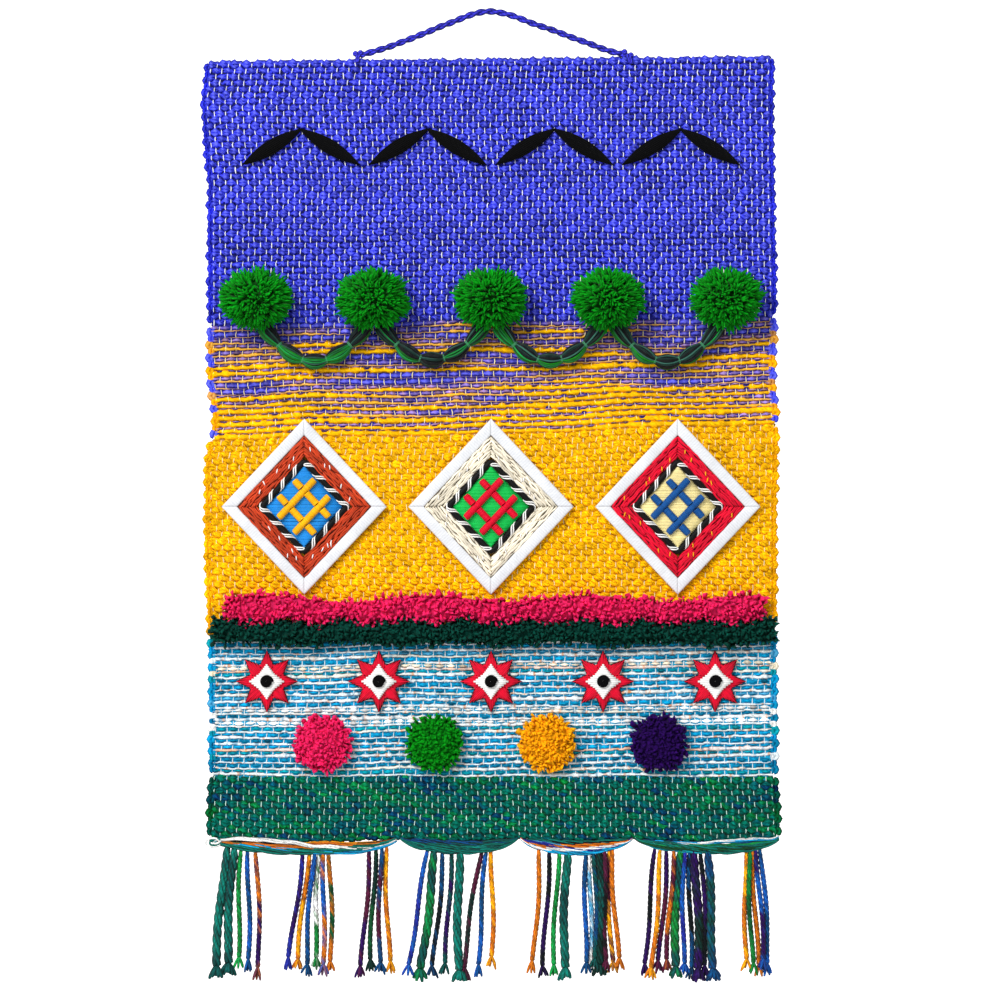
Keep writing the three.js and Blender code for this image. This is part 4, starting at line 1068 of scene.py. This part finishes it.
def make_leaf(yarns, foot, tip, seed):
    """Stitches from the foot to the tip over a base darkened as painted shade between them."""
    way = tip - foot
    side = np.array([-way[1], way[0]]) / np.linalg.norm(way)
    t = np.linspace(0.0, 1.0, 15)
    half = LEAF["width"] / 2 * np.sin(math.pi * t) ** 0.8
    middle = foot + way * t[:, None]
    yarn = LEAF["width"] / LEAF["yarns"] * 0.62
    w = np.linspace(-1, 1, LEAF["yarns"])[:, None]
    flat = middle + side * (w * np.maximum(half - yarn * 0.6, 0.05))[..., None]
    lift = (LEAF["thick"] - yarn * 0.5) * np.sqrt(np.maximum(1 - 0.7 * w * w, 0)) * np.minimum(1, half / 2.0)
    girth = yarn * np.clip(half / (LEAF["width"] / 2), 0.22, 1) * np.ones_like(w)
    tone = dice(seed).uniform(0.7, 1.5, (LEAF["yarns"], 1, 1))
    yarns.tubes(flat_to_wall(flat, SEWN - 0.25 - lift * 0.9), linear("black") * tone, girth, girth * 0.9)
    w = np.linspace(-1, 1, 5)[:, None]
    base = flat_to_wall(middle + side * (w * half * 0.96)[..., None], SEWN - 0.5 - 0.9 * (1 - w * w))
    # The base: black darkened further as painted shade between the stitches.
    yarns.patch(base, linear("black") * 0.6, flip=side[1] < 0)


def make_leaf_pair(k):
    middle = (k - (LEAF["pairs"] - 1) / 2) * LEAF["pitch"]
    half_span = math.sqrt(LEAF["length"] ** 2 - LEAF["rise"] ** 2)
    yarns = Yarns()
    for side in (-1, 1):
        foot = np.array([middle + side * half_span, LEAF["foot"]])
        tip = np.array([middle - side * 1.5, LEAF["foot"] + LEAF["rise"] + 0.8])
        make_leaf(yarns, foot, tip, 40 + 2 * k + side)
    yarns.piece(f"Leaf_pair_{k + 1}", FELT, f"leaf_pair_{k + 1}")


# The diamond medallions.
DIAMOND = {"half_width": 62, "half_height": 66, "row": -368, "pitch": 140}
BRAID = {"width": 8.5, "thick": 3}
BORDER = {"from": 8.8, "to": 19.3, "thick": 3.4, "rows": 8}
BORDER_ARCH = np.array([0.55, 0.9, 1, 1, 1, 1, 1, 0.9, 0.55])
BORDER_GIRTHS = np.array([0.6, 1, 1, 1, 1, 1, 1, 1, 0.6])
WRAPPED = {"radius": 2.2, "line": 21.8, "pitch": 13.0, "pair": 2.3}
PANEL = {"from": 24.3, "thick": 3, "pitch": 1.05}
PANEL_ARCH = np.array([0.25, 0.8, 1, 1, 1, 0.8, 0.25])
BARS = {"width": 5.6, "thick": 3.8, "apart": 8.2, "spare": 3, "wrap": 0.84}
# Each medallion's name, and the colour and slot of its border, its panel and its bars.
MEDALLIONS = [
    ("left", "brick", "brick_stitch", "sky", "blue_satin", "gold", "gold_wrap"),
    ("middle", "cream", "cream_stitch", "green", "green_satin", "crimson", "crimson_wrap"),
    ("right", "crimson", "crimson_stitch", "butter", "cream_satin", "bar_blue", "blue_wrap"),
]


def diamond_corners(middle, drawn_in):
    """The right, top, left and bottom corners of a diamond drawn in from the outline."""
    w, h, row = DIAMOND["half_width"], DIAMOND["half_height"], DIAMOND["row"]
    scale = 1 - drawn_in * math.hypot(w, h) / (w * h)
    return np.array([[middle + w * scale, row], [middle, row + h * scale],
                     [middle - w * scale, row], [middle, row - h * scale]])


def make_braid(name, middle):
    """Four strips of white braid, mitred at the corners."""
    yarns = Yarns()
    outer, inner = diamond_corners(middle, 0), diamond_corners(middle, BRAID["width"])
    turn = np.linspace(0, TAU, 17)[:-1]
    across = 0.5 - 0.5 * np.sign(np.cos(turn)) * np.abs(np.cos(turn)) ** 0.6
    lift = BRAID["thick"] / 2 * (1 + np.sign(np.sin(turn)) * np.abs(np.sin(turn)) ** 0.6)
    t = np.linspace(0, 1, 40)[:, None, None]
    for i in range(4):
        j = (i + 1) % 4
        far, near = outer[i] + (outer[j] - outer[i]) * t, inner[i] + (inner[j] - inner[i]) * t
        flat = far + (near - far) * across[None, :, None]
        places = xyz(flat @ unit(outer[j] - outer[i]), 2 * across - 1, np.sin(turn))
        tints = linear("braid") * (1 + 0.03 * drift(t * 3, 11 + i)) * np.ones(flat.shape[:2] + (1,))
        yarns.shell(flat_to_wall(flat, SEWN - lift)[None], tints[None], places[None])
    yarns.piece(f"Braid_{name}", RIBBON, f"braid_{name}")


def border_stitches(yarns, middle, colour, throw):
    """Rows of long wavy stitches along the diamond's sides."""
    pitch = (BORDER["to"] - BORDER["from"]) / BORDER["rows"]
    stitches, tones, girths = [], [], []
    for row in range(BORDER["rows"]):
        corners = diamond_corners(middle, BORDER["from"] + pitch * (row + 0.5))
        across = (row + 0.5) / BORDER["rows"] * 2 - 1
        rise = (BORDER["thick"] - 0.9) * (1 - 0.35 * across**4)
        for i in range(4):
            a, b = corners[i], corners[(i + 1) % 4]
            length = np.linalg.norm(b - a)
            way = (b - a) / length
            normal = np.array([-way[1], way[0]])
            start = -throw.uniform(0, 8)
            while start < length - 2:
                begin, end = max(start, 0), min(start + throw.uniform(13, 26), length)
                start = end
                if end - begin < 3:
                    continue
                t = np.linspace(begin, end + 0.8 if end < length else end, len(BORDER_ARCH))[:, None]
                wave = throw.normal(0, 0.3) + 0.38 * np.sin(t * 0.55 + throw.uniform(0, 6))
                stitches.append(flat_to_wall(a + way * t + normal * wave, SEWN - 0.3 - rise * BORDER_ARCH))
                tones.append(throw.uniform(0.72, 1.18))
                girths.append(pitch * throw.uniform(0.52, 0.68))
    girths = np.array(girths)[:, None] * BORDER_GIRTHS
    yarns.tubes(np.stack(stitches), linear(colour) * np.array(tones)[:, None, None], girths, girths * 0.95)


def border_backs(yarns, middle, colour, throw):
    """The back under each side's stitches, darkened as painted shade, and small catch stitches over them."""
    outer, inner = diamond_corners(middle, BORDER["from"]), diamond_corners(middle, BORDER["to"])
    catch = linear("yellow" if colour == "crimson" else "cotton")
    z = np.linspace(-1.6, 1.6, 4)
    t = np.linspace(0, 1, 9)[:, None]
    for i in range(4):
        j = (i + 1) % 4
        rims = [rim[i] + (rim[j] - rim[i]) * t for rim in (outer, inner)]
        # The back: the stitch colour darkened as painted shade between the stitches.
        yarns.patch(flat_to_wall(rims, SEWN - 1.4), linear(colour) * 0.25)
        for _ in range(5):
            along, inwards = throw.uniform(0.1, 0.9), throw.uniform(0.2, 0.8)
            far, near = outer[i] + (outer[j] - outer[i]) * along, inner[i] + (inner[j] - inner[i]) * along
            x, height = far + (near - far) * inwards
            lean = throw.normal(0, 0.4, 3)[0]
            lift = BORDER["thick"] + np.array([-0.2, 0.5, 0.5, -0.2])
            yarns.tubes(xyz(x + lean * z / 2, SEWN - lift, height + z), catch, 0.42, sides=4)


def make_border(name, middle, colour, seed):
    """Long wavy stitches laid round the diamond, held by small catch stitches."""
    yarns = Yarns()
    throw = dice(seed)
    border_stitches(yarns, middle, colour, throw)
    border_backs(yarns, middle, colour, throw)
    yarns.piece(f"Border_{name}", STITCH, f"border_{name}")


def rounded_diamond(middle, drawn_in, count, rounding=0.05):
    """A closed line of even steps round the diamond, its corners a little rounded."""
    corners = diamond_corners(middle, drawn_in)
    t = np.linspace(0, 1, 200, endpoint=False)[:, None]
    dense = np.concatenate([corners[i] + (corners[(i + 1) % 4] - corners[i]) * t for i in range(4)])
    window = int(len(t) * rounding)
    soft = sum(np.roll(dense, k, 0) for k in range(-window, window + 1)) / (2 * window + 1)
    return evenly(np.vstack([soft, soft[:1]]), count, endpoint=False)


def make_wrapped_cord(name, middle):
    """A black cord wound with pairs of white threads."""
    radius, depth = WRAPPED["radius"], SEWN - WRAPPED["radius"]
    yarns = Yarns()
    line, length = rounded_diamond(middle, WRAPPED["line"], 132)
    yarns.tubes(flat_to_wall(line, depth), linear("black"), radius, sides=9, closed=True)
    winds = round(length / WRAPPED["pitch"])
    count = winds * 12
    centre = flat_to_wall(rounded_diamond(middle, WRAPPED["line"], count)[0], depth)
    side, front = across_and_front(centre, closed=True)
    for offset in (-0.5, 0.5):
        angle = TAU * (winds * np.arange(count) / count + offset * WRAPPED["pair"] / WRAPPED["pitch"])
        thread = wound(centre, radius * 1.04, angle, closed=True)
        yarns.tubes(thread, linear("white"), 0.72, 0.5, out=front * 0.3 + side, closed=True)
    yarns.piece(f"Wrapped_cord_{name}", STITCH, f"wrapped_cord_{name}")


def make_panel(name, middle, colour, seed):
    """Satin thread laid from side to side."""
    yarns = Yarns()
    throw = dice(seed)
    corners = diamond_corners(middle, PANEL["from"])
    half_width, half_height = corners[0][0] - middle, corners[1][1] - DIAMOND["row"]
    lines = []
    for z in np.arange(-half_height + 0.9, half_height - 0.6, PANEL["pitch"]):
        half = half_width * (1 - abs(z) / half_height)
        x = np.linspace(-half, half, len(PANEL_ARCH))
        sway = throw.normal(0, 0.08) + 0.05 * np.sin(x * 0.4)
        depth = SEWN - 0.6 - (PANEL["thick"] - 1.2) * PANEL_ARCH
        lines.append(xyz(middle + x, depth, DIAMOND["row"] + z + sway))
    tint = linear(colour) * throw.uniform(0.9, 1.08, len(lines))[:, None, None]
    yarns.tubes(np.stack(lines), tint, PANEL["pitch"] * 0.58, 0.6)
    right, top, left, bottom = corners
    # The back under the threads: the satin colour darkened as painted shade between them.
    yarns.patch(flat_to_wall([[left, top, right], [left, bottom, right]], SEWN - 1.0), linear(colour) * 0.3)
    yarns.piece(f"Panel_{name}", SATIN, f"panel_{name}")


def make_bars(name, middle, colour, seed):
    """A lattice of padded bars wound with thread. One pair lies across the other."""
    yarns = Yarns()
    throw = dice(seed)
    corners = diamond_corners(middle, PANEL["from"])
    side_length = np.linalg.norm(corners[1] - corners[0])
    way = unit(np.array([DIAMOND["half_width"], DIAMOND["half_height"]], float))
    other = way * [1, -1]
    back = FACE - 0.6 - PANEL["thick"]
    angle = np.linspace(-0.08, 1.08, 7) * math.pi
    wraps, tones = [], []
    for pair, (along, apart) in enumerate(((way, other), (other, way))):
        normal = np.array([-along[1], along[0]])
        for place in (-1, 1):
            length = (side_length - BARS["spare"]) * (1 - 0.02 * place)
            middle_point = np.array([middle, DIAMOND["row"]]) + apart * place * BARS["apart"]
            for s in np.arange(-length / 2 + 0.5, length / 2 - 0.3, BARS["wrap"]):
                if pair == 1 and abs(abs(s) - BARS["apart"]) < BARS["width"] * 0.5:
                    continue
                end = max(0.0, abs(s) - (length / 2 - 1.8)) / 1.8
                girth = 1 - 0.28 * end * end
                half = BARS["width"] / 2 * girth - 0.3
                thick = BARS["thick"] * girth * (1 if pair == 0 else 0.93) - 0.35
                slant = (throw.normal(0, 0.06) + 0.12 * np.cos(angle))[:, None]
                flat = middle_point + along * (s + slant) + normal * (half * np.cos(angle))[:, None]
                wraps.append(flat_to_wall(flat, back - thick * np.sin(angle)))
                tones.append(throw.uniform(0.9, 1.08))
    tint = linear(colour) * np.array(tones)[:, None, None]
    yarns.tubes(np.stack(wraps), tint, BARS["wrap"] * 0.6, 0.45, out=(0, -1, 0.001), sides=4)
    yarns.piece(f"Bars_{name}", SATIN, f"bars_{name}")


def make_medallions():
    for k, (name, border, border_slot, panel, panel_slot, bars, bars_slot) in enumerate(MEDALLIONS):
        middle = (k - 1) * DIAMOND["pitch"]
        make_braid(name, middle)
        make_border(name, middle, border, 1300 + k)
        make_wrapped_cord(name, middle)
        make_panel(name, middle, panel, 1400 + k)
        make_bars(name, middle, bars, 1500 + k)


# The pile bands.
PILE = {"left": -208, "right": 213, "deep": 11, "step": 2.6, "rows": 8, "girth": 2.4}
PINK_BAND = {"top": -437, "bottom": -452, "scallops": 9, "drop": 5, "inset": 9}
GREEN_BAND = {"bottom": -470}


def scallop_line(u):
    return PINK_BAND["bottom"] - PINK_BAND["drop"] * np.sin(math.pi * (u * PINK_BAND["scallops"] % 1))


def pile_band(name, slot, node, colour, left, right, top_at, bottom_at, seed):
    """Short tufts over a low mound, leaning outwards at its rim."""
    throw = dice(seed)
    columns, rows = int((right - left) / PILE["step"]), PILE["rows"]
    u, v = np.meshgrid((np.arange(columns) + 0.5) / columns, (np.arange(rows) + 0.5) / rows)
    u = np.clip(u + throw.uniform(-0.4, 0.4, u.shape) / columns, 0.002, 0.998).ravel()
    v = np.clip(v + throw.uniform(-0.4, 0.4, v.shape) / rows, 0.01, 0.99).ravel()
    x = left + (right - left) * u
    z = top_at(u) + (bottom_at(u) - top_at(u)) * v
    across = 2 * v - 1
    end = np.minimum(x - left, right - x)
    dome = np.sqrt(np.maximum(1 - 0.75 * across**2, 0.05)) * np.clip(0.55 + end / 12, 0, 1)
    height = PILE["deep"] * dome * throw.uniform(0.82, 1.1, len(u))
    roots = xyz(x, SEWN - 0.2, z)
    lean_x = throw.normal(0, 1.3, len(u)) + np.where(x - left < 6, -2, 0) + np.where(right - x < 6, 2, 0)
    lean_z = throw.normal(0, 1.1, len(u)) - 2.6 * across * np.abs(across)
    yarns = Yarns()
    add_tufts(yarns, roots, roots + xyz(lean_x, -height, lean_z), PILE["girth"], colour, seed + 1)
    u, v = np.meshgrid(np.linspace(0, 1, 90), np.linspace(0, 1, 8))
    mound = np.sqrt(np.maximum(1 - (2 * v - 1) ** 2, 0)) * np.clip(np.minimum(u, 1 - u) * 60, 0, 1)
    height = top_at(u) + (bottom_at(u) - top_at(u)) * v
    base = xyz(left + (right - left) * u, SEWN - PILE["deep"] * 0.62 * mound, height)
    # The mound under the tufts: the pile colour darkened as painted shade between them.
    yarns.patch(base, linear(colour) * 0.75)
    yarns.piece(name, TUFT_WOOL, node)


def make_pile():
    """The pink band, and the green one from its scallops down."""
    left, right = PILE["left"], PILE["right"]
    pink_left, pink_right = left + PINK_BAND["inset"], right - PINK_BAND["inset"]

    def under_pink(u):
        share = (left + (right - left) * u - pink_left) / (pink_right - pink_left)
        return scallop_line(np.clip(share, 0, 1))

    def green_bottom(u):
        return GREEN_BAND["bottom"] + 1.2 * np.sin(u * 33)

    def pink_top(u):
        return PINK_BAND["top"] + 2.5 * np.sin(u * 21)

    def pink_bottom(u):
        return scallop_line(u) + 1.5

    green = ("Green_pile_band", "dark_green_pile", "green_pile", "moss")
    pink = ("Pink_pile_band", "pink_pile", "pink_pile", "pink")
    pile_band(*green, left, right, under_pink, green_bottom, 1600)
    pile_band(*pink, pink_left, pink_right, pink_top, pink_bottom, 1700)


# The stars and roundels.
STAR = {"points": 8, "outer": 23, "inner": 13, "row": -499, "pitch": 84, "count": 5, "thick": 3}
STAR_BACK = FACE - 0.6 - STAR["thick"]
LOZENGE = {"outer": 13, "inner": 8, "thick": 1.8, "threads": 19}
EYE = {"radius": 5.2, "thick": 2, "winds": 3.2}
ROUNDEL = {"radius": 21, "row": -545, "pitch": 84, "deep": 12, "tufts": 400}
ROUNDEL_COLOURS = [
    ("pink", "pink_pile"), ("pine", "green_pile"), ("yellow", "gold_pile"), ("purple", "purple_pile"),
]


def make_red_star(k, middle, throw):
    """A star of satin stitches along its points, with a black rim that is a painted shadow round its edge,
    over a back darkened as painted shade.
    """
    points = STAR["points"]
    half_turn = math.pi / points
    low_x, low_y = STAR["inner"] * math.cos(half_turn), STAR["inner"] * math.sin(half_turn)
    centre = np.array([middle, STAR["row"]])
    arch = np.array([0.85, 1, 1, 0.9, 0.35])
    yarns = Yarns()
    lines, tones = [], []
    for p in range(points):
        angle = 2 * half_turn * p
        way = np.array([math.cos(angle), math.sin(angle)])
        side = np.array([-way[1], way[0]])
        for o in np.linspace(-0.92, 0.92, 9) * low_y:
            start = max(abs(o) / math.tan(half_turn), 3.0)
            end = STAR["outer"] - (STAR["outer"] - low_x) * abs(o) / low_y
            s = np.linspace(start, end - 0.3, 5)[:, None]
            flat = centre + way * s + side * (o + 0.12 * throw.normal(0, 1) * np.sin(s))
            dome = 1 - 0.45 * (abs(o) / low_y) ** 2
            lines.append(flat_to_wall(flat, SEWN - 0.5 - (STAR["thick"] - 0.9) * dome * arch))
            tones.append(throw.uniform(0.82, 1.12))
    tint = linear("crimson") * np.array(tones)[:, None, None]
    yarns.tubes(np.stack(lines), tint, [0.62, 0.68, 0.68, 0.62, 0.4], 0.55)
    corner = np.arange(2 * points + 1) % (2 * points)
    reach = np.where(corner % 2, STAR["inner"], STAR["outer"])
    turn = half_turn * corner
    rim = np.stack([middle + reach * np.cos(turn), STAR["row"] + reach * np.sin(turn)], 1)
    t = np.linspace(0, 1, 5)[:-1, None]
    dense = np.concatenate([a + (b - a) * t for a, b in zip(rim, rim[1:])])
    # The black rim: a painted shadow round the star's edge.
    yarns.tubes(flat_to_wall(dense, SEWN - 0.45), linear("black"), 0.5, closed=True)
    rings = [centre + (rim - centre) * s for s in (0.02, 0.5, 0.97)]
    # The back: crimson darkened as painted shade between the stitches.
    yarns.patch(flat_to_wall(rings, SEWN - 0.9), linear("crimson") * 0.3)
    yarns.piece(f"Star_red_{k + 1}", STITCH, f"star_red_{k + 1}")


def make_white_star(k, middle, throw):
    """The white lozenge of threads laid across the red star."""
    outer, knee = LOZENGE["outer"], LOZENGE["inner"] * math.sqrt(0.5)
    count = LOZENGE["threads"]
    arch = np.array([0.2, 0.9, 1, 1, 0.9, 0.2])
    threads = []
    for z in np.linspace(-0.95, 0.95, count) * outer:
        if abs(z) < knee:
            half = outer - (outer - knee) * abs(z) / knee
        else:
            half = knee * (outer - abs(z)) / (outer - knee)
        x = np.linspace(-half, half, len(arch))
        depth = STAR_BACK - 0.4 - (LOZENGE["thick"] - 0.8) * arch
        threads.append(xyz(middle + x, depth, STAR["row"] + z + throw.normal(0, 0.05)))
    yarns = Yarns()
    yarns.tubes(np.stack(threads), linear("white") * throw.uniform(0.93, 1.0, (count, 1, 1)), 0.78, 0.5)
    yarns.piece(f"Star_white_{k + 1}", SATIN, f"star_white_{k + 1}")


def make_black_star(k, middle):
    """The black eye: one thread coiled into the middle."""
    t = np.linspace(0, 1, 52)
    reach = (EYE["radius"] - 0.75) * (1 - t) ** 0.9 + 0.2
    spiral = xyz(
        middle + reach * np.cos(TAU * EYE["winds"] * t),
        STAR_BACK - LOZENGE["thick"] - 0.3 - 0.85 - 0.45 * t,
        STAR["row"] + reach * np.sin(TAU * EYE["winds"] * t),
    )
    yarns = Yarns()
    yarns.tubes(spiral, linear("black") * 1.3, 0.82, 0.8, sides=6)
    yarns.piece(f"Star_black_{k + 1}", FELT, f"star_black_{k + 1}")


def make_star(k):
    middle = (k - (STAR["count"] - 1) / 2) * STAR["pitch"]
    throw = dice(1800 + k)
    make_red_star(k, middle, throw)
    make_white_star(k, middle, throw)
    make_black_star(k, middle)


def make_roundel(k):
    """A round mound of pile."""
    x, z = (k - 1.5) * ROUNDEL["pitch"], ROUNDEL["row"]
    colour, slot = ROUNDEL_COLOURS[k]
    throw = dice(1900 + k)
    step = np.arange(ROUNDEL["tufts"]) + 0.5
    out = np.sqrt(step / ROUNDEL["tufts"])
    flat = xyz(out * np.cos(GOLDEN * step), 0, out * np.sin(GOLDEN * step))
    radius = ROUNDEL["radius"] - 1.5
    roots = np.array([x, 0, z]) + flat * radius * 0.93
    roots[:, 1] = SEWN - 0.2
    height = ROUNDEL["deep"] * np.sqrt(1 - 0.72 * out**2) * throw.uniform(0.82, 1.08, len(out))
    tips = roots + flat * 4.2 * (out**2)[:, None] + throw.normal(0, 0.8, roots.shape)
    tips[:, 1] = SEWN - height
    yarns = Yarns()
    add_tufts(yarns, roots, tips, PILE["girth"], colour, 2000 + k)
    ring, turn = np.meshgrid(np.linspace(0.01, 0.95, 8), np.linspace(0, TAU, 25))
    rise = ROUNDEL["deep"] * 0.78 * np.sqrt(1 - ring**2)
    base = xyz(x + ring * radius * np.cos(turn), SEWN - rise, z + ring * radius * np.sin(turn))
    # The mound under the tufts: the pile colour darkened as painted shade between them.
    yarns.patch(base, linear(colour) * 0.7)
    yarns.piece(f"Roundel_{k + 1}", TUFT_WOOL, f"roundel_{k + 1}")


# Light, floor and background, in metres.
KEY_LIGHT = {"place": (-1.5, -2.6, 1.5), "aim": (0, 0, -0.36), "size": 1.6, "power": 115}
ROOM = {"floor": -2.6, "reach": 5.0, "back": 4.6, "half": 3.0, "top": 2.4, "world": 0.68}


def make_stage(name, corners, material):
    """One plain face that isn't part of the hanging."""
    mesh = bpy.data.meshes.new(name)
    mesh.from_pydata(corners, [], [(0, 1, 2, 3)])
    mesh.materials.append(material)
    new_object(name, mesh)


def make_light():
    scene = bpy.context.scene
    scene.view_settings.view_transform = "Standard"
    world = bpy.data.worlds.new("Pale_room")
    scene.world = world
    world.use_nodes = True
    background = world.node_tree.nodes["Background"]
    background.inputs["Color"].default_value = (1, 1, 1, 1)
    background.inputs["Strength"].default_value = ROOM["world"]
    key = bpy.data.lights.new("Key_light", "AREA")
    key.shape = "DISK"
    key.size = KEY_LIGHT["size"]
    key.energy = KEY_LIGHT["power"]
    x, y, z = unit(np.subtract(KEY_LIGHT["aim"], KEY_LIGHT["place"]))
    new_object("Key_light", key, KEY_LIGHT["place"], (math.acos(-z), 0, math.atan2(-x, y)))
    reach, low, far, half, high = (ROOM[name] for name in ("reach", "floor", "back", "half", "top"))
    floor = [(-reach, -reach, low), (reach, -reach, low), (reach, reach, low), (-reach, reach, low)]
    pale = new_material("Pale_floor", Base_Color=(0.85, 0.85, 0.85, 1), Roughness=0.8)[0]
    make_stage("Floor", floor, pale)
    screen = [(-half, far, low), (half, far, low), (half, far, high), (-half, far, high)]
    white = new_material(
        "White_backdrop", Base_Color=(0.9, 0.9, 0.9, 1), Roughness=0.9,
        Emission_Color=(1, 1, 1, 1), Emission_Strength=0.6,
    )[0]
    make_stage("Backdrop", screen, white)


make_camera()
make_cord()
ground = make_ground()
cloth_pieces = make_cloth()
hem_pieces = make_lower_edge()
for k in range(POMPOM["count"]):
    make_pompom(k)
for k in range(POMPOM["count"] - 1):
    make_hank(k)
for k in range(LEAF["pairs"]):
    make_leaf_pair(k)
make_medallions()
make_pile()
for k in range(STAR["count"]):
    make_star(k)
for k in range(len(ROUNDEL_COLOURS)):
    make_roundel(k)
make_light()
